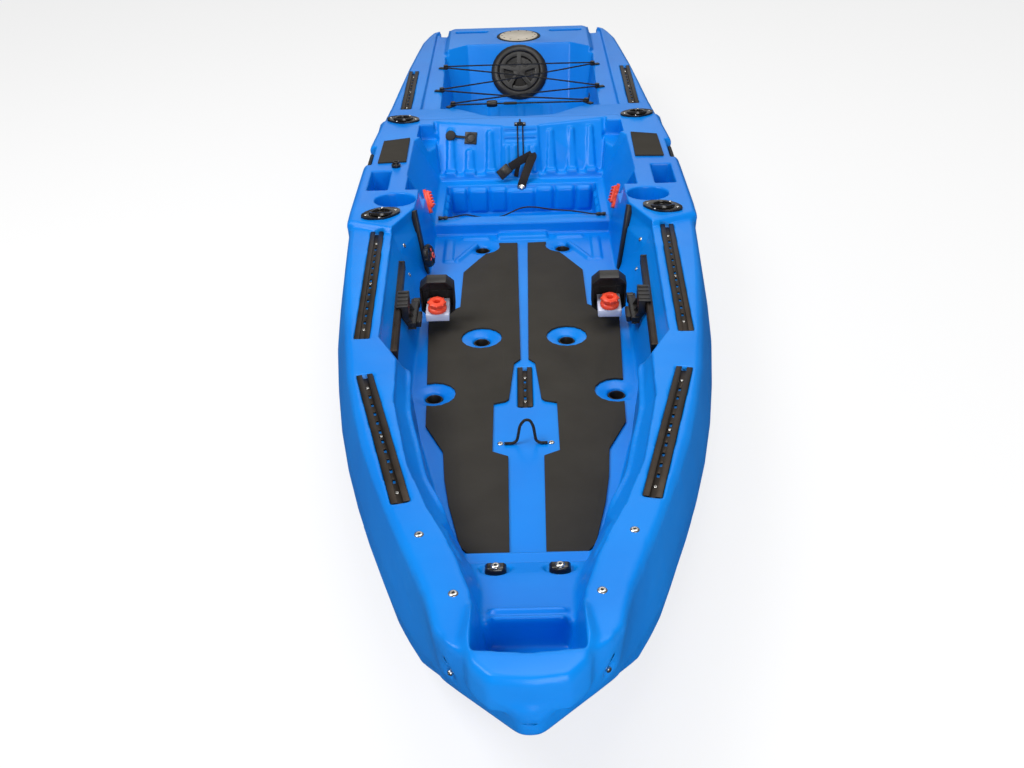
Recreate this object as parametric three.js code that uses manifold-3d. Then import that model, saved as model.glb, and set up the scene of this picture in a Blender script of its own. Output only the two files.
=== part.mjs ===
// Sit-on-top fishing kayak: one hollow moulded hull with its deck fittings.
// Millimetres, +Z up, bow towards -Y, the paddler's left side towards +X.
// The origin is the middle of the footprint, on the ground under the keel.
import * as THREE from 'three';
import { mergeVertices } from 'three/addons/utils/BufferGeometryUtils.js';
import Module from 'manifold-3d';

const wasm = await Module();
wasm.setup();

// Driving dimensions of the hull
const lengthOverall = 3400;
const beam = 900;
const hullWall = 6;
const foreGunwaleHeight = 262;
const platformHeight = foreGunwaleHeight + 26;
const bowDeckHeight = foreGunwaleHeight + 36;
const bowLipHeight = bowDeckHeight + 10;
const noseHeight = bowDeckHeight - 42;
const aftDeckHeight = platformHeight - 12;
const aftShelfHeight = aftDeckHeight - 11;
const sternBlockHeight = aftDeckHeight + 8;
const floorHeight = 115;
const seatLedgeHeight = floorHeight + 35;
const seatWellFloorHeight = seatLedgeHeight - 88;
const tankFloorHeight = floorHeight - 9;
const bowShelfHeight = floorHeight + 41;
const bowRampLowHeight = bowShelfHeight + 32;
const bowRampHighHeight = bowDeckHeight - 52;
const handleWellFloorHeight = bowRampHighHeight - 46;
const footWellKneeHeight = foreGunwaleHeight - 34;
const stemHalfWidth = 14;
const edgeRound = 9;

// Driving dimensions of the fittings
const fitGap = 0.3;
const cutOverrun = 40;
const trackWidth = 32;
const trackDepth = 12;
const trackSlotWidth = 10;
const trackLip = 2.6;
const trackWall = 3;
const rodBoreRadius = 24;
const rodTubeWall = 3;
const rodTubeLength = 200;
const rodFlangeLength = 104;
const rodFlangeWidth = 66;
const rodFlangeHeight = 6;
const rodTilt = 15;
const tankHatchRadius = 104;
const tankHatchHeight = 16;
const tankLidRadius = 76;
const sternHatchRadius = 82;
const sternHatchHeight = 12;
const sternLidRadius = 73;
const hatchSides = 28;
const scupperRadius = 20;
const scupperRingRadius = 45;
const scupperRingDepth = 7;
const padThickness = 5;
const cordRadius = 2.5;

const halfLength = lengthOverall / 2;
const halfBeam = beam / 2;
const radians = THREE.MathUtils.degToRad;

// Helpers: shares of the half beam and half length become places on the deck
const alongHull = (share) => share * halfLength;
const acrossHull = (share) => share * halfBeam;
const place = ([xShare, yShare]) => [acrossHull(xShare), alongHull(yShare)];
const mirrored = (half) => [...half, ...half.map(([x, y]) => [-x, y]).reverse()];
const onSide = (outline, side) => outline.map(([x, y]) => [x * side, y]);

function lookUp(rows, at) {
  if (at <= rows[0][0]) return rows[0][1];
  for (let i = 1; i < rows.length; i += 1) {
    const [x0, v0] = rows[i - 1];
    const [x1, v1] = rows[i];
    if (at <= x1) return v0 + ((v1 - v0) * (at - x0)) / (x1 - x0);
  }
  return rows[rows.length - 1][1];
}

// Helpers: geometry to solid and back
function solidOf(geometry, matrix) {
  const bare = geometry.clone();
  bare.deleteAttribute('normal');
  bare.deleteAttribute('uv');
  if (matrix) bare.applyMatrix4(matrix);
  const merged = mergeVertices(bare);
  const corners = [];
  const index = merged.index.array;
  for (let i = 0; i < index.length; i += 3) {
    const [a, b, c] = [index[i], index[i + 1], index[i + 2]];
    if (a !== b && b !== c && c !== a) corners.push(a, b, c);
  }
  return new wasm.Manifold(new wasm.Mesh({
    numProp: 3,
    vertProperties: new Float32Array(merged.attributes.position.array),
    triVerts: new Uint32Array(corners),
  }));
}

function geometryOf(solid) {
  const mesh = solid.getMesh();
  const geometry = new THREE.BufferGeometry();
  geometry.setAttribute('position', new THREE.BufferAttribute(mesh.vertProperties, 3));
  geometry.setIndex(new THREE.BufferAttribute(mesh.triVerts, 1));
  geometry.computeVertexNormals();
  return geometry;
}

const joined = (solids) => solids.reduce((whole, piece) => whole.add(piece));
const without = (solid, cuts) => solid.subtract(joined(cuts));
const shifted = (x, y, z) => new THREE.Matrix4().makeTranslation(x, y, z);
const tilted = (x, y, z) => new THREE.Matrix4().makeRotationFromEuler(new THREE.Euler(x, y, z));

// A closed solid through rings of equal point counts, each quad split along its shorter diagonal.
// flat names the two axes that span its end caps, and a round or four-sided section needs none
function loft(rings, flat) {
  const count = rings[0].length;
  const points = rings.flat().map((p) => new THREE.Vector3(...p));
  const faces = [];
  for (let r = 0; r + 1 < rings.length; r += 1) {
    for (let i = 0; i < count; i += 1) {
      const a = r * count + i;
      const b = r * count + ((i + 1) % count);
      if (points[a].distanceTo(points[b + count]) <= points[b].distanceTo(points[a + count]) + 1e-6) {
        faces.push([a, b, b + count], [a, b + count, a + count]);
      } else {
        faces.push([a, b, a + count], [b, b + count, a + count]);
      }
    }
  }
  const addCap = (ring, base, reverse) => {
    if (!flat) {
      for (let i = 1; i + 1 < count; i += 1) {
        faces.push(reverse ? [base, base + i + 1, base + i] : [base, base + i, base + i + 1]);
      }
      return;
    }
    const outline = ring.map((p) => new THREE.Vector2(p[flat[0]], p[flat[1]]));
    const runsLeft = THREE.ShapeUtils.area(outline) > 0;
    for (const face of THREE.ShapeUtils.triangulateShape(outline, [])) {
      const same = THREE.ShapeUtils.area(face.map((i) => outline[i])) > 0 === runsLeft;
      const corners = face.map((i) => i + base);
      faces.push(same === reverse ? corners.reverse() : corners);
    }
  };
  addCap(rings[0], 0, true);
  addCap(rings[rings.length - 1], (rings.length - 1) * count, false);
  const volume = faces.reduce((sum, [a, b, c]) => sum + points[a].dot(points[b].clone().cross(points[c])), 0);
  const geometry = new THREE.BufferGeometry().setFromPoints(points);
  geometry.setIndex((volume < 0 ? faces.map((face) => [...face].reverse()) : faces).flat());
  return solidOf(geometry);
}

// Outline moved out by grow, square to its edges; a negative value moves it in
function grown(outline, grow) {
  const turn = Math.sign(THREE.ShapeUtils.area(outline.map(([x, y]) => new THREE.Vector2(x, y))));
  return outline.map(([x, y], i) => {
    const [px, py] = outline[(i + outline.length - 1) % outline.length];
    const [nx, ny] = outline[(i + 1) % outline.length];
    const before = new THREE.Vector2(y - py, px - x).normalize();
    const after = new THREE.Vector2(ny - y, x - nx).normalize();
    const middle = before.clone().add(after).normalize();
    const reach = (turn * grow) / Math.max(middle.dot(after), 0.5);
    return [x + middle.x * reach, y + middle.y * reach];
  });
}

// A solid between outlines at rising heights
const tower = (levels) => loft(levels.map(([outline, z]) => outline.map(([x, y]) => [x, y, z])), [0, 1]);

// A pocket cut: its floor and walls move out by grow, so the same call makes the skin behind them
const pocket = (levels, grow) => {
  const rings = levels.map(([outline, z], i) => [grown(outline, grow), i === 0 ? z - grow : z]);
  const [rim, rimHeight] = rings[rings.length - 1];
  return tower([...rings, [rim, Math.max(rimHeight, bowLipHeight) + cutOverrun]]);
};

function ellipseOutline(centreX, centreY, radiusX, radiusY, steps) {
  const outline = [];
  for (let i = 0; i < steps; i += 1) {
    const angle = (2 * Math.PI * i) / steps;
    outline.push([centreX + radiusX * Math.cos(angle), centreY + radiusY * Math.sin(angle)]);
  }
  return outline;
}

// Turned solids: points run from the axis, out and back to the axis, as [radius, height]
function turnedSolid(profile, steps, matrix) {
  const points = profile.map(([r, z]) => new THREE.Vector2(r, z));
  const upright = new THREE.Matrix4().makeRotationX(Math.PI / 2);
  return solidOf(new THREE.LatheGeometry(points, steps), matrix ? matrix.clone().multiply(upright) : upright);
}
const disc = (radius, low, high, steps, matrix) =>
  turnedSolid([[0, low], [radius, low], [radius, high], [0, high]], steps, matrix);
const block = (x, y, z, matrix) => solidOf(new THREE.BoxGeometry(x, y, z), matrix);

// A frame on a wall: Z stands out of it, Y runs as near to up as the wall lets it
function facing(origin, out, up) {
  const normal = out.clone().normalize();
  const across = up.clone().cross(normal).normalize();
  return new THREE.Matrix4().makeBasis(across, normal.clone().cross(across), normal).setPosition(origin);
}

function plate(outline, low, high, matrix) {
  const shape = new THREE.Shape(outline.map(([x, y]) => new THREE.Vector2(x, y)));
  const lift = shifted(0, 0, low);
  const geometry = new THREE.ExtrudeGeometry(shape, { depth: high - low, bevelEnabled: false });
  return solidOf(geometry, matrix ? matrix.clone().multiply(lift) : lift);
}

// Hull lines: [share of the half length, value]
const deckHeights = [
  [-1, noseHeight],
  [-0.988, (noseHeight + bowDeckHeight) / 2],
  [-0.955, bowDeckHeight],
  [-0.75, foreGunwaleHeight + 0.68 * (bowDeckHeight - foreGunwaleHeight)],
  [-0.5, foreGunwaleHeight + 0.22 * (bowDeckHeight - foreGunwaleHeight)],
  [-0.09, foreGunwaleHeight + 0.5 * (platformHeight - foreGunwaleHeight)],
  [0.3, foreGunwaleHeight + 0.5 * (platformHeight - foreGunwaleHeight)],
  [0.36, aftDeckHeight + 0.84 * (platformHeight - aftDeckHeight)],
  [0.44, aftDeckHeight + 0.25 * (platformHeight - aftDeckHeight)],
  [0.5, aftDeckHeight],
  [1, aftDeckHeight],
];
const keelShares = [
  [-1, 0.95], [-0.997, 0.9], [-0.988, 0.742], [-0.965, 0.566], [-0.939, 0.371], [-0.907, 0.176],
  [-0.857, 0.047], [-0.798, 0], [0.85, 0], [0.95, 0.05], [1, 0.16],
];
const bilgeWidthShares = [
  [-1, 0.13], [-0.94, 0.275], [-0.899, 0.315], [-0.875, 0.355], [-0.849, 0.404], [-0.823, 0.455],
  [-0.795, 0.505], [-0.736, 0.588], [-0.67, 0.672], [-0.6, 0.75], [-0.52, 0.825], [-0.43, 0.888],
  [-0.33, 0.943], [-0.22, 0.98], [-0.09, 0.996], [0.04, 1], [0.17, 0.993], [0.27, 0.984], [0.365, 0.972],
  [0.375, 0.95], [0.55, 0.92], [0.68, 0.893], [0.79, 0.864], [0.905, 0.827], [0.965, 0.782], [0.99, 0.752],
  [0.996, 0.72], [1, 0.67],
];
const deckWidthShares = [
  [-1, 0.035], [-0.996, 0.09], [-0.988, 0.16], [-0.97, 0.262], [-0.944, 0.3], [-0.89, 0.34],
  [-0.824, 0.427], [-0.762, 0.51], [-0.684, 0.609], [-0.604, 0.695], [-0.489, 0.785], [-0.41, 0.83],
  [-0.252, 0.908], [-0.08, 0.968], [0.04, 0.985], [0.17, 0.982], [0.365, 0.96], [0.375, 0.938], [0.68, 0.88],
  [0.905, 0.812], [0.965, 0.765], [0.99, 0.735], [0.996, 0.7], [1, 0.65],
];
const stationShares = [
  -1, -0.997, -0.993, -0.988, -0.979, -0.97, -0.957, -0.944, -0.925, -0.907, -0.88, -0.85, -0.82, -0.79,
  -0.75, -0.7, -0.64, -0.57, -0.49, -0.41, -0.33, -0.24, -0.15, -0.05, 0.08, 0.2, 0.3, 0.365, 0.375, 0.47,
  0.6, 0.72, 0.83, 0.91, 0.96, 0.985, 0.996, 1,
];
const levelShares = [0, 0.05, 0.14, 0.28, 0.45, 0.62, 0.82, 0.97, 1];
const flatBottomShare = 0.62;
const bilgeTopShare = 0.5;
const entrySlope = 1.1;

const deckHeightAt = (y) => lookUp(deckHeights, y / halfLength);
const keelHeightAt = (y) => noseHeight * lookUp(keelShares, y / halfLength);

// Where the stem line stands at a height: the keel line read the other way round, bow half only
const stemShares = keelShares.filter(([at, rise]) => at <= -0.798 && rise >= 0).reverse()
  .map(([at, rise]) => [rise, at]);
const stemPlaceAt = (z) => alongHull(lookUp(stemShares, z / noseHeight));

function halfWidthAt(y, level) {
  const at = y / halfLength;
  const keel = keelHeightAt(y);
  const z = keel + (deckHeightAt(y) - keel) * level;
  const bilge = acrossHull(lookUp(bilgeWidthShares, at));
  const deck = acrossHull(lookUp(deckWidthShares, at));
  const entry = stemHalfWidth + entrySlope * (y - stemPlaceAt(z));
  if (level < bilgeTopShare) {
    const turn = Math.sqrt(1 - (1 - level / bilgeTopShare) ** 2);
    return Math.min(bilge * (flatBottomShare + (1 - flatBottomShare) * turn), entry);
  }
  const rise = ((level - bilgeTopShare) / (1 - bilgeTopShare)) ** 1.4;
  const side = bilge + (deck - bilge) * rise;
  return Math.min(level === 1 ? side - edgeRound : side, entry);
}

function hullRing(y, inset) {
  const keel = keelHeightAt(y);
  const depth = deckHeightAt(y) - keel;
  const right = levelShares.map((level) => [
    Math.max(halfWidthAt(y, level) - inset, 0.2 * stemHalfWidth),
    y,
    keel + inset + (depth - 2 * inset) * level,
  ]);
  return [...right, ...right.map(([x, ringY, z]) => [-x, ringY, z]).reverse()];
}

// Raised parts of the deck: the side platforms, the stern block and the lip round the bow handle
const platformShares = [
  [0.946, 0.371], [0.978, 0.25], [0.984, 0.12], [0.986, -0.03], [0.982, -0.078], [0.716, -0.109],
  [0.3, -0.11],
];
const sternBlockShares = [[0.56, 0.79], [0.596, 0.82], [0.6, 0.985], [0.56, 0.999]];
const bowLipShares = [[0.19, -0.9], [0.215, -0.94], [0.19, -0.972], [0.127, -0.991], [0.02, -0.9945]];
const raisedParts = [
  [platformShares, foreGunwaleHeight, platformHeight],
  [sternBlockShares, aftDeckHeight, sternBlockHeight],
  [bowLipShares, noseHeight, bowLipHeight],
];

function raisedPart([shares, low, high], inset) {
  const outline = mirrored(shares.map(place));
  const foot = low - hullWall - edgeRound;
  return tower([
    [grown(outline, -inset), foot],
    [grown(outline, -inset), high - edgeRound - inset],
    [grown(outline, -inset - edgeRound), high - inset],
  ]);
}

function hullBody(inset) {
  const first = alongHull(-1) + inset;
  const span = (lengthOverall - 2 * inset) / lengthOverall;
  const rings = stationShares.map((share) => hullRing(first + (alongHull(share) + halfLength) * span, inset));
  return joined([loft(rings, [0, 2]), ...raisedParts.map((row) => raisedPart(row, inset))]);
}

// Hollows of the deck, right half of each outline: [share of half beam, share of half length]
const footWellFloorShares = [
  [0.54, 0.084], [0.544, -0.052], [0.562, -0.17], [0.56, -0.376], [0.549, -0.447], [0.46, -0.532],
  [0.371, -0.632], [0.313, -0.689], [0.249, -0.722],
];
const footWellKneeShares = [
  [0.582, 0.084], [0.591, -0.038], [0.678, -0.112], [0.631, -0.4], [0.533, -0.453], [0.502, -0.544],
  [0.4, -0.668], [0.302, -0.735], [0.24, -0.765],
];
const footWellRimShares = [
  [0.6, 0.084], [0.611, -0.032], [0.718, -0.1], [0.676, -0.407], [0.576, -0.458], [0.556, -0.553],
  [0.458, -0.682], [0.358, -0.759], [0.256, -0.82],
];
const seatFloorShares = [[0.544, 0.081], [0.547, 0.11], [0.547, 0.25], [0.54, 0.272]];
const seatRimShares = [[0.66, 0.081], [0.696, 0.1], [0.696, 0.26], [0.582, 0.318]];
const backRecessFloorShares = [[0.133, 0.26], [0.53, 0.26], [0.542, 0.28], [0.133, 0.28]];
const backRecessRimShares = [[0.124, 0.3], [0.582, 0.3], [0.589, 0.3565], [0.12, 0.324]];
const seatWellFloorShares = [[0.476, 0.119], [0.476, 0.242]];
const seatWellRimShares = [[0.496, 0.1135], [0.496, 0.2476]];
const tankFloorShares = [
  [0.02, 0.398], [0.2, 0.402], [0.427, 0.458], [0.524, 0.472], [0.529, 0.7], [0.533, 0.755], [0.4, 0.783],
];
const tankRimShares = [
  [0.02, 0.379], [0.216, 0.384], [0.471, 0.444], [0.573, 0.465], [0.589, 0.702], [0.607, 0.816],
  [0.422, 0.859],
];
const handleWellFloorShares = [[0.138, -0.893], [0.138, -0.95], [0.02, -0.953]];
const handleWellKneeShares = [[0.16, -0.889], [0.16, -0.955], [0.02, -0.9595]];
const handleWellRimShares = [[0.182, -0.889], [0.182, -0.957], [0.02, -0.9612]];
const tackleFloorShares = [[0.8, 0.045], [0.91, 0.045], [0.912, 0.118], [0.805, 0.118]];
const tackleRimShares = [[0.793, 0.04], [0.918, 0.04], [0.918, 0.121], [0.798, 0.121]];
const lowerNotchShares = [[0.5, 0.0395], [0.687, 0.0395], [0.687, 0.095], [0.5, 0.095]];
const upperNotchShares = [[0.5, 0.279], [0.682, 0.279], [0.682, 0.339], [0.57, 0.339], [0.5, 0.3]];
const cupPlaceShares = [0.735, 0];
const cupRadiusShares = [0.122, 0.0265];
const aftShelfShares = [
  [0.704, 0.441], [0.704, 0.972], [0.65, 1.02], [0.603, 1.02], [0.603, 0.83], [0.5, 0.78], [0.5, 0.441],
];
const sternNotchShares = [[0.609, 0.968], [0.672, 0.972], [0.672, 1.02], [0.609, 1.02]];
const sideHandleRecessShares = [[0.935, 0.15], [1.08, 0.15], [1.08, 0.235], [0.935, 0.235]];
const sternSlotPlaceShares = [0.4, 0.9606];
const tieDownPlaceShares = [0.118, -0.7885];
const tieDownRecessRadius = 27;
const eyePlaceShares = [0.244, -0.9706];
const eyeRecessRadius = 11;
const eyeRecessDepth = 12;
const sternSlotLength = 127;
const sternSlotWidth = 27;
const sternSlotDepth = 34;
const tackleDepth = 70;
const cupDepth = 52;
const lowerNotchDepth = 56;
const upperNotchDepth = 48;
const sternNotchDepth = 60;
const sideHandleRecessDepth = 62;

// Ramp from the floor up to the bow handle: [share along, foot share, rim share, height]
const rampRows = [
  [-0.7, 0.249, 0.33, floorHeight],
  [-0.722, 0.249, 0.34, floorHeight],
  [-0.727, 0.247, 0.345, bowShelfHeight],
  [-0.755, 0.24, 0.352, bowShelfHeight],
  [-0.775, 0.215, 0.335, bowRampLowHeight],
  [-0.8, 0.193, 0.29, bowRampLowHeight + 0.29 * (bowRampHighHeight - bowRampLowHeight)],
  [-0.838, 0.165, 0.238, bowRampLowHeight + 0.59 * (bowRampHighHeight - bowRampLowHeight)],
  [-0.88, 0.16, 0.187, bowRampLowHeight + 0.93 * (bowRampHighHeight - bowRampLowHeight)],
  [-0.893, 0.16, 0.184, bowRampHighHeight],
];

function rampCut(grow) {
  const top = bowLipHeight + cutOverrun;
  const shoulder = bowDeckHeight - edgeRound;
  const rings = rampRows.map(([along, foot, rim, height], i) => {
    const y = alongHull(along) - (i === rampRows.length - 1 ? grow : 0);
    const footX = acrossHull(foot) + grow;
    const rimX = acrossHull(rim) + grow;
    const right = [[footX, y, height - grow], [rimX, y, shoulder], [rimX, y, top]];
    return [...right, ...right.map(([x, ringY, z]) => [-x, ringY, z]).reverse()];
  });
  return loft(rings, [0, 2]);
}

const slotOutline = (centreX, centreY, length, width) => {
  const half = (length - width) / 2;
  const outline = [];
  const steps = 4;
  for (let i = 0; i <= steps; i += 1) {
    const angle = -Math.PI / 2 + (Math.PI * i) / steps;
    outline.push([centreX + half + (width / 2) * Math.cos(angle), centreY + (width / 2) * Math.sin(angle)]);
  }
  for (let i = 0; i <= steps; i += 1) {
    const angle = Math.PI / 2 + (Math.PI * i) / steps;
    outline.push([centreX - half + (width / 2) * Math.cos(angle), centreY + (width / 2) * Math.sin(angle)]);
  }
  return outline;
};

const wide = (shares) => mirrored(shares.map(place));
const sides = [-1, 1];

// All hollows that open upwards; grow 0 cuts them, grow hullWall shapes the skin behind them
function deckHollows(grow) {
  const centre = [
    [[wide(footWellFloorShares), floorHeight], [wide(footWellKneeShares), footWellKneeHeight],
      [wide(footWellRimShares), foreGunwaleHeight]],
    [[wide(seatFloorShares), seatLedgeHeight], [wide(seatRimShares), platformHeight]],
    [[wide(seatWellFloorShares), seatWellFloorHeight], [wide(seatWellRimShares), seatLedgeHeight]],
    [[wide(tankFloorShares), tankFloorHeight], [wide(tankRimShares), sternBlockHeight]],
    [[wide(handleWellFloorShares), handleWellFloorHeight], [wide(handleWellKneeShares), bowRampHighHeight],
      [wide(handleWellRimShares), bowLipHeight]],
  ];
  const paired = sides.flatMap((side) => {
    const put = (shares) => onSide(shares.map(place), side);
    const [cupX, cupY] = place(cupPlaceShares);
    const [cupRadiusX, cupRadiusY] = place(cupRadiusShares);
    const cup = ellipseOutline(cupX * side, cupY, cupRadiusX, cupRadiusY, 16);
    const [slotX, slotY] = place(sternSlotPlaceShares);
    const slot = slotOutline(slotX * side, slotY, sternSlotLength, sternSlotWidth);
    const [tieX, tieY] = place(tieDownPlaceShares);
    const tieDownRecess = ellipseOutline(tieX * side, tieY, tieDownRecessRadius, tieDownRecessRadius, 16);
    const [eyeX, eyeY] = place(eyePlaceShares);
    const eyeRecess = ellipseOutline(eyeX * side, eyeY, eyeRecessRadius, eyeRecessRadius, 8);
    return [
      [[put(backRecessFloorShares), seatLedgeHeight], [put(backRecessRimShares), platformHeight]],
      [[put(tackleFloorShares), platformHeight - tackleDepth], [put(tackleRimShares), platformHeight]],
      [[put(lowerNotchShares), platformHeight - lowerNotchDepth], [put(lowerNotchShares), platformHeight]],
      [[put(upperNotchShares), platformHeight - upperNotchDepth], [put(upperNotchShares), platformHeight]],
      [[grown(cup, -edgeRound / 2), platformHeight - cupDepth], [cup, platformHeight]],
      [[put(aftShelfShares), aftShelfHeight], [put(aftShelfShares), platformHeight]],
      [[put(sternNotchShares), aftShelfHeight - sternNotchDepth], [put(sternNotchShares), platformHeight]],
      [[put(sideHandleRecessShares), platformHeight - sideHandleRecessDepth],
        [put(sideHandleRecessShares), platformHeight]],
      [[slot, sternBlockHeight - sternSlotDepth], [slot, sternBlockHeight]],
      [[tieDownRecess, bowRampLowHeight], [tieDownRecess, bowRampHighHeight]],
      [[eyeRecess, deckHeightAt(eyeY) - eyeRecessDepth], [eyeRecess, bowDeckHeight]],
    ];
  });
  return [...[...centre, ...paired].map((levels) => pocket(levels, grow)), rampCut(grow)];
}

// Places of the fittings
const scupperShares = [[0.243, 0.034], [0.223, -0.261], [0.442, -0.403]];
const rodShares = [[0.796, -0.056], [0.8, 0.366]];
const trackShares = {
  fore: [[0.707, -0.495], [0.462, -0.749]],
  mid: [[0.802, -0.0995], [0.756, -0.411]],
  aft: [[0.82, 0.69], [0.809, 0.444]],
};
const centreTrackShares = [-0.338, -0.433];
const sternHatchShare = 0.9194;

// A frame on the deck between two places: its own X runs along, Z stands off the deck
function deckFrame([fromX, fromY, fromZ], [toX, toY, toZ]) {
  const from = new THREE.Vector3(fromX, fromY, fromZ);
  const to = new THREE.Vector3(toX, toY, toZ);
  const along = to.clone().sub(from).normalize();
  const across = new THREE.Vector3(0, 0, 1).cross(along).normalize();
  const up = along.clone().cross(across);
  const middle = from.clone().add(to).multiplyScalar(0.5);
  const matrix = new THREE.Matrix4().makeBasis(along, across, up).setPosition(middle);
  return { matrix, length: from.distanceTo(to) };
}

const trackFrames = [];
for (const [zone, ends] of Object.entries(trackShares)) {
  for (const side of sides) {
    const corners = ends.map(place).map(([x, y]) => [x * side, y, deckHeightAt(y)]);
    trackFrames.push({ name: `gear_track_${zone}_${side < 0 ? 'right' : 'left'}`, ...deckFrame(...corners) });
  }
}
const centreTrackEnds = centreTrackShares.map((share) => [0, alongHull(share), floorHeight]);
trackFrames.push({ name: 'gear_track_centre', ...deckFrame(...centreTrackEnds) });

const trackCut = ({ matrix, length }, grow) => {
  const top = cutOverrun / 2;
  const height = trackDepth + fitGap + grow + top;
  const lift = shifted(0, 0, top - height / 2);
  return block(length + 2 * (fitGap + grow), trackWidth + 2 * (fitGap + grow), height,
    matrix.clone().multiply(lift));
};

// Rod holder frames: flange flat on the platform, tube leaning so that a rod points up and aft
const rodFrames = rodShares.flatMap((shares, row) => sides.map((side) => {
  const [x, y] = place(shares);
  const name = `rod_holder_${row === 0 ? 'fore' : 'aft'}_${side < 0 ? 'right' : 'left'}`;
  const top = row === 0 ? platformHeight : deckHeightAt(y) + fitGap;
  const turn = radians(row === 0 ? -22 : 12) * side;
  return { name, side, turn, place: shifted(x * side, y, Math.max(top, platformHeight)) };
}));
const rodTubeRadius = rodBoreRadius + rodTubeWall;
const rodTube = (frame, radius, low, high) =>
  disc(radius, low, high, 16, frame.place.clone().multiply(tilted(radians(-rodTilt), 0, 0)));

// Hatch frames: the large one lies on the sloping rear wall of the tank well
const tankFoot = [alongHull(tankFloorShares[tankFloorShares.length - 1][1]), tankFloorHeight];
const tankBrow = [alongHull(tankRimShares[tankRimShares.length - 1][1]), sternBlockHeight];
const tankSlope = Math.atan2(tankBrow[1] - tankFoot[1], tankBrow[0] - tankFoot[0]);
const tankHatchFrame = shifted(0, (tankFoot[0] + tankBrow[0]) / 2, (tankFoot[1] + tankBrow[1]) / 2)
  .multiply(tilted(tankSlope, 0, 0));
const sternHatchFrame = shifted(0, alongHull(sternHatchShare), sternBlockHeight - sternHatchHeight);

const scupperPlaces = scupperShares.flatMap((shares) => sides.map((side) => {
  const [x, y] = place(shares);
  return [x * side, y];
}));

function hull() {
  const skin = hullWall;
  const boreRadius = scupperRadius + fitGap;
  const ringCut = ([x, y], grow) => turnedSolid([
    [0, floorHeight - scupperRingDepth - grow],
    [boreRadius + grow, floorHeight - scupperRingDepth - grow],
    [scupperRingRadius + grow, floorHeight],
    [scupperRingRadius + grow, floorHeight + scupperRingDepth],
    [0, floorHeight + scupperRingDepth],
  ], 16, shifted(x, y, 0));
  const boreCut = ([x, y], grow) => disc(boreRadius + grow, -cutOverrun, floorHeight, 12, shifted(x, y, 0));
  const sternRecess = (grow) =>
    disc(sternHatchRadius + fitGap + grow, -grow, cutOverrun, hatchSides, sternHatchFrame);
  const hollows = (grow) => [
    ...deckHollows(grow),
    ...trackFrames.map((frame) => trackCut(frame, grow)),
    ...scupperPlaces.flatMap((at) => [ringCut(at, grow), boreCut(at, grow)]),
    sternRecess(grow),
  ];
  const cavity = without(hullBody(skin), hollows(skin)).decompose()
    .sort((a, b) => b.volume() - a.volume())[0];
  const openings = [
    ...rodFrames.map((frame) => rodTube(frame, rodTubeRadius + fitGap, -3 * hullWall, cutOverrun)),
    disc(tankLidRadius, -4 * hullWall, hullWall, hatchSides, tankHatchFrame),
    disc(sternLidRadius - hullWall, -4 * hullWall, hullWall, hatchSides, sternHatchFrame),
  ];
  return without(hullBody(0), [...hollows(0), cavity, ...openings]);
}

// Materials: colours as they look in the sun
function finish(color, roughness, metalness = 0) {
  return new THREE.MeshStandardMaterial({ color, roughness, metalness });
}
const finishes = {
  hull: finish('#1c86ea', 0.42),
  foam: finish('#3b3a37', 0.95),
  blackPlastic: finish('#1d1c1b', 0.45),
  track: finish('#3a3632', 0.5),
  steel: finish('#b9b9b5', 0.3, 1),
  orange: finish('#e8492f', 0.45),
  pale: finish('#d6d8ec', 0.5),
  lid: finish('#a7a096', 0.4),
  cord: finish('#161616', 0.8),
  strap: finish('#1b1a19', 0.9),
  rubber: finish('#121212', 0.8),
};

const kayak = new THREE.Group();
function addPart(name, solid, material) {
  const mesh = new THREE.Mesh(geometryOf(solid), finishes[material]);
  mesh.name = name;
  kayak.add(mesh);
}

addPart('hull', hull(), 'hull');

// The hull's outside grown by the fitting gap: what is trimmed with it lies snug against any wall
const hullEnvelope = without(hullBody(-fitGap), deckHollows(-fitGap));
const seated = (solid) => solid.subtract(hullEnvelope);

// Foam deck pads, cut round the drain holes
const deckPadShares = [
  [0.031, 0.044], [0.142, 0.045], [0.173, 0.028], [0.249, -0.007], [0.347, -0.058], [0.349, -0.17],
  [0.515, -0.206], [0.482, -0.375], [0.471, -0.435], [0.464, -0.475], [0.373, -0.53], [0.356, -0.584],
  [0.329, -0.631], [0.271, -0.702], [0.238, -0.7135], [0.073, -0.715], [0.08, -0.542], [0.151, -0.532],
  [0.151, -0.428], [0.093, -0.423], [0.078, -0.418], [0.053, -0.331], [0.02, -0.32],
];
const padRingGap = 3;
for (const side of sides) {
  const outline = onSide(deckPadShares.map(place), side);
  const low = floorHeight + fitGap;
  const rings = scupperPlaces.filter(([x]) => x * side > 0)
    .map(([x, y]) => disc(scupperRingRadius + padRingGap, 0, low + 2 * padThickness, 16, shifted(x, y, 0)));
  const sheet = plate(outline, low, low + padThickness);
  addPart(`deck_pad_${side < 0 ? 'right' : 'left'}`, without(sheet, rings), 'foam');
}

// Foam pads on the side platforms
const armrestPadShares = [[0.891, 0.253], [0.724, 0.266], [0.716, 0.155], [0.893, 0.152]];
for (const side of sides) {
  const outline = onSide(armrestPadShares.map(place), side);
  const low = platformHeight + fitGap;
  addPart(`armrest_pad_${side < 0 ? 'right' : 'left'}`, plate(outline, low, low + padThickness), 'foam');
}

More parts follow.
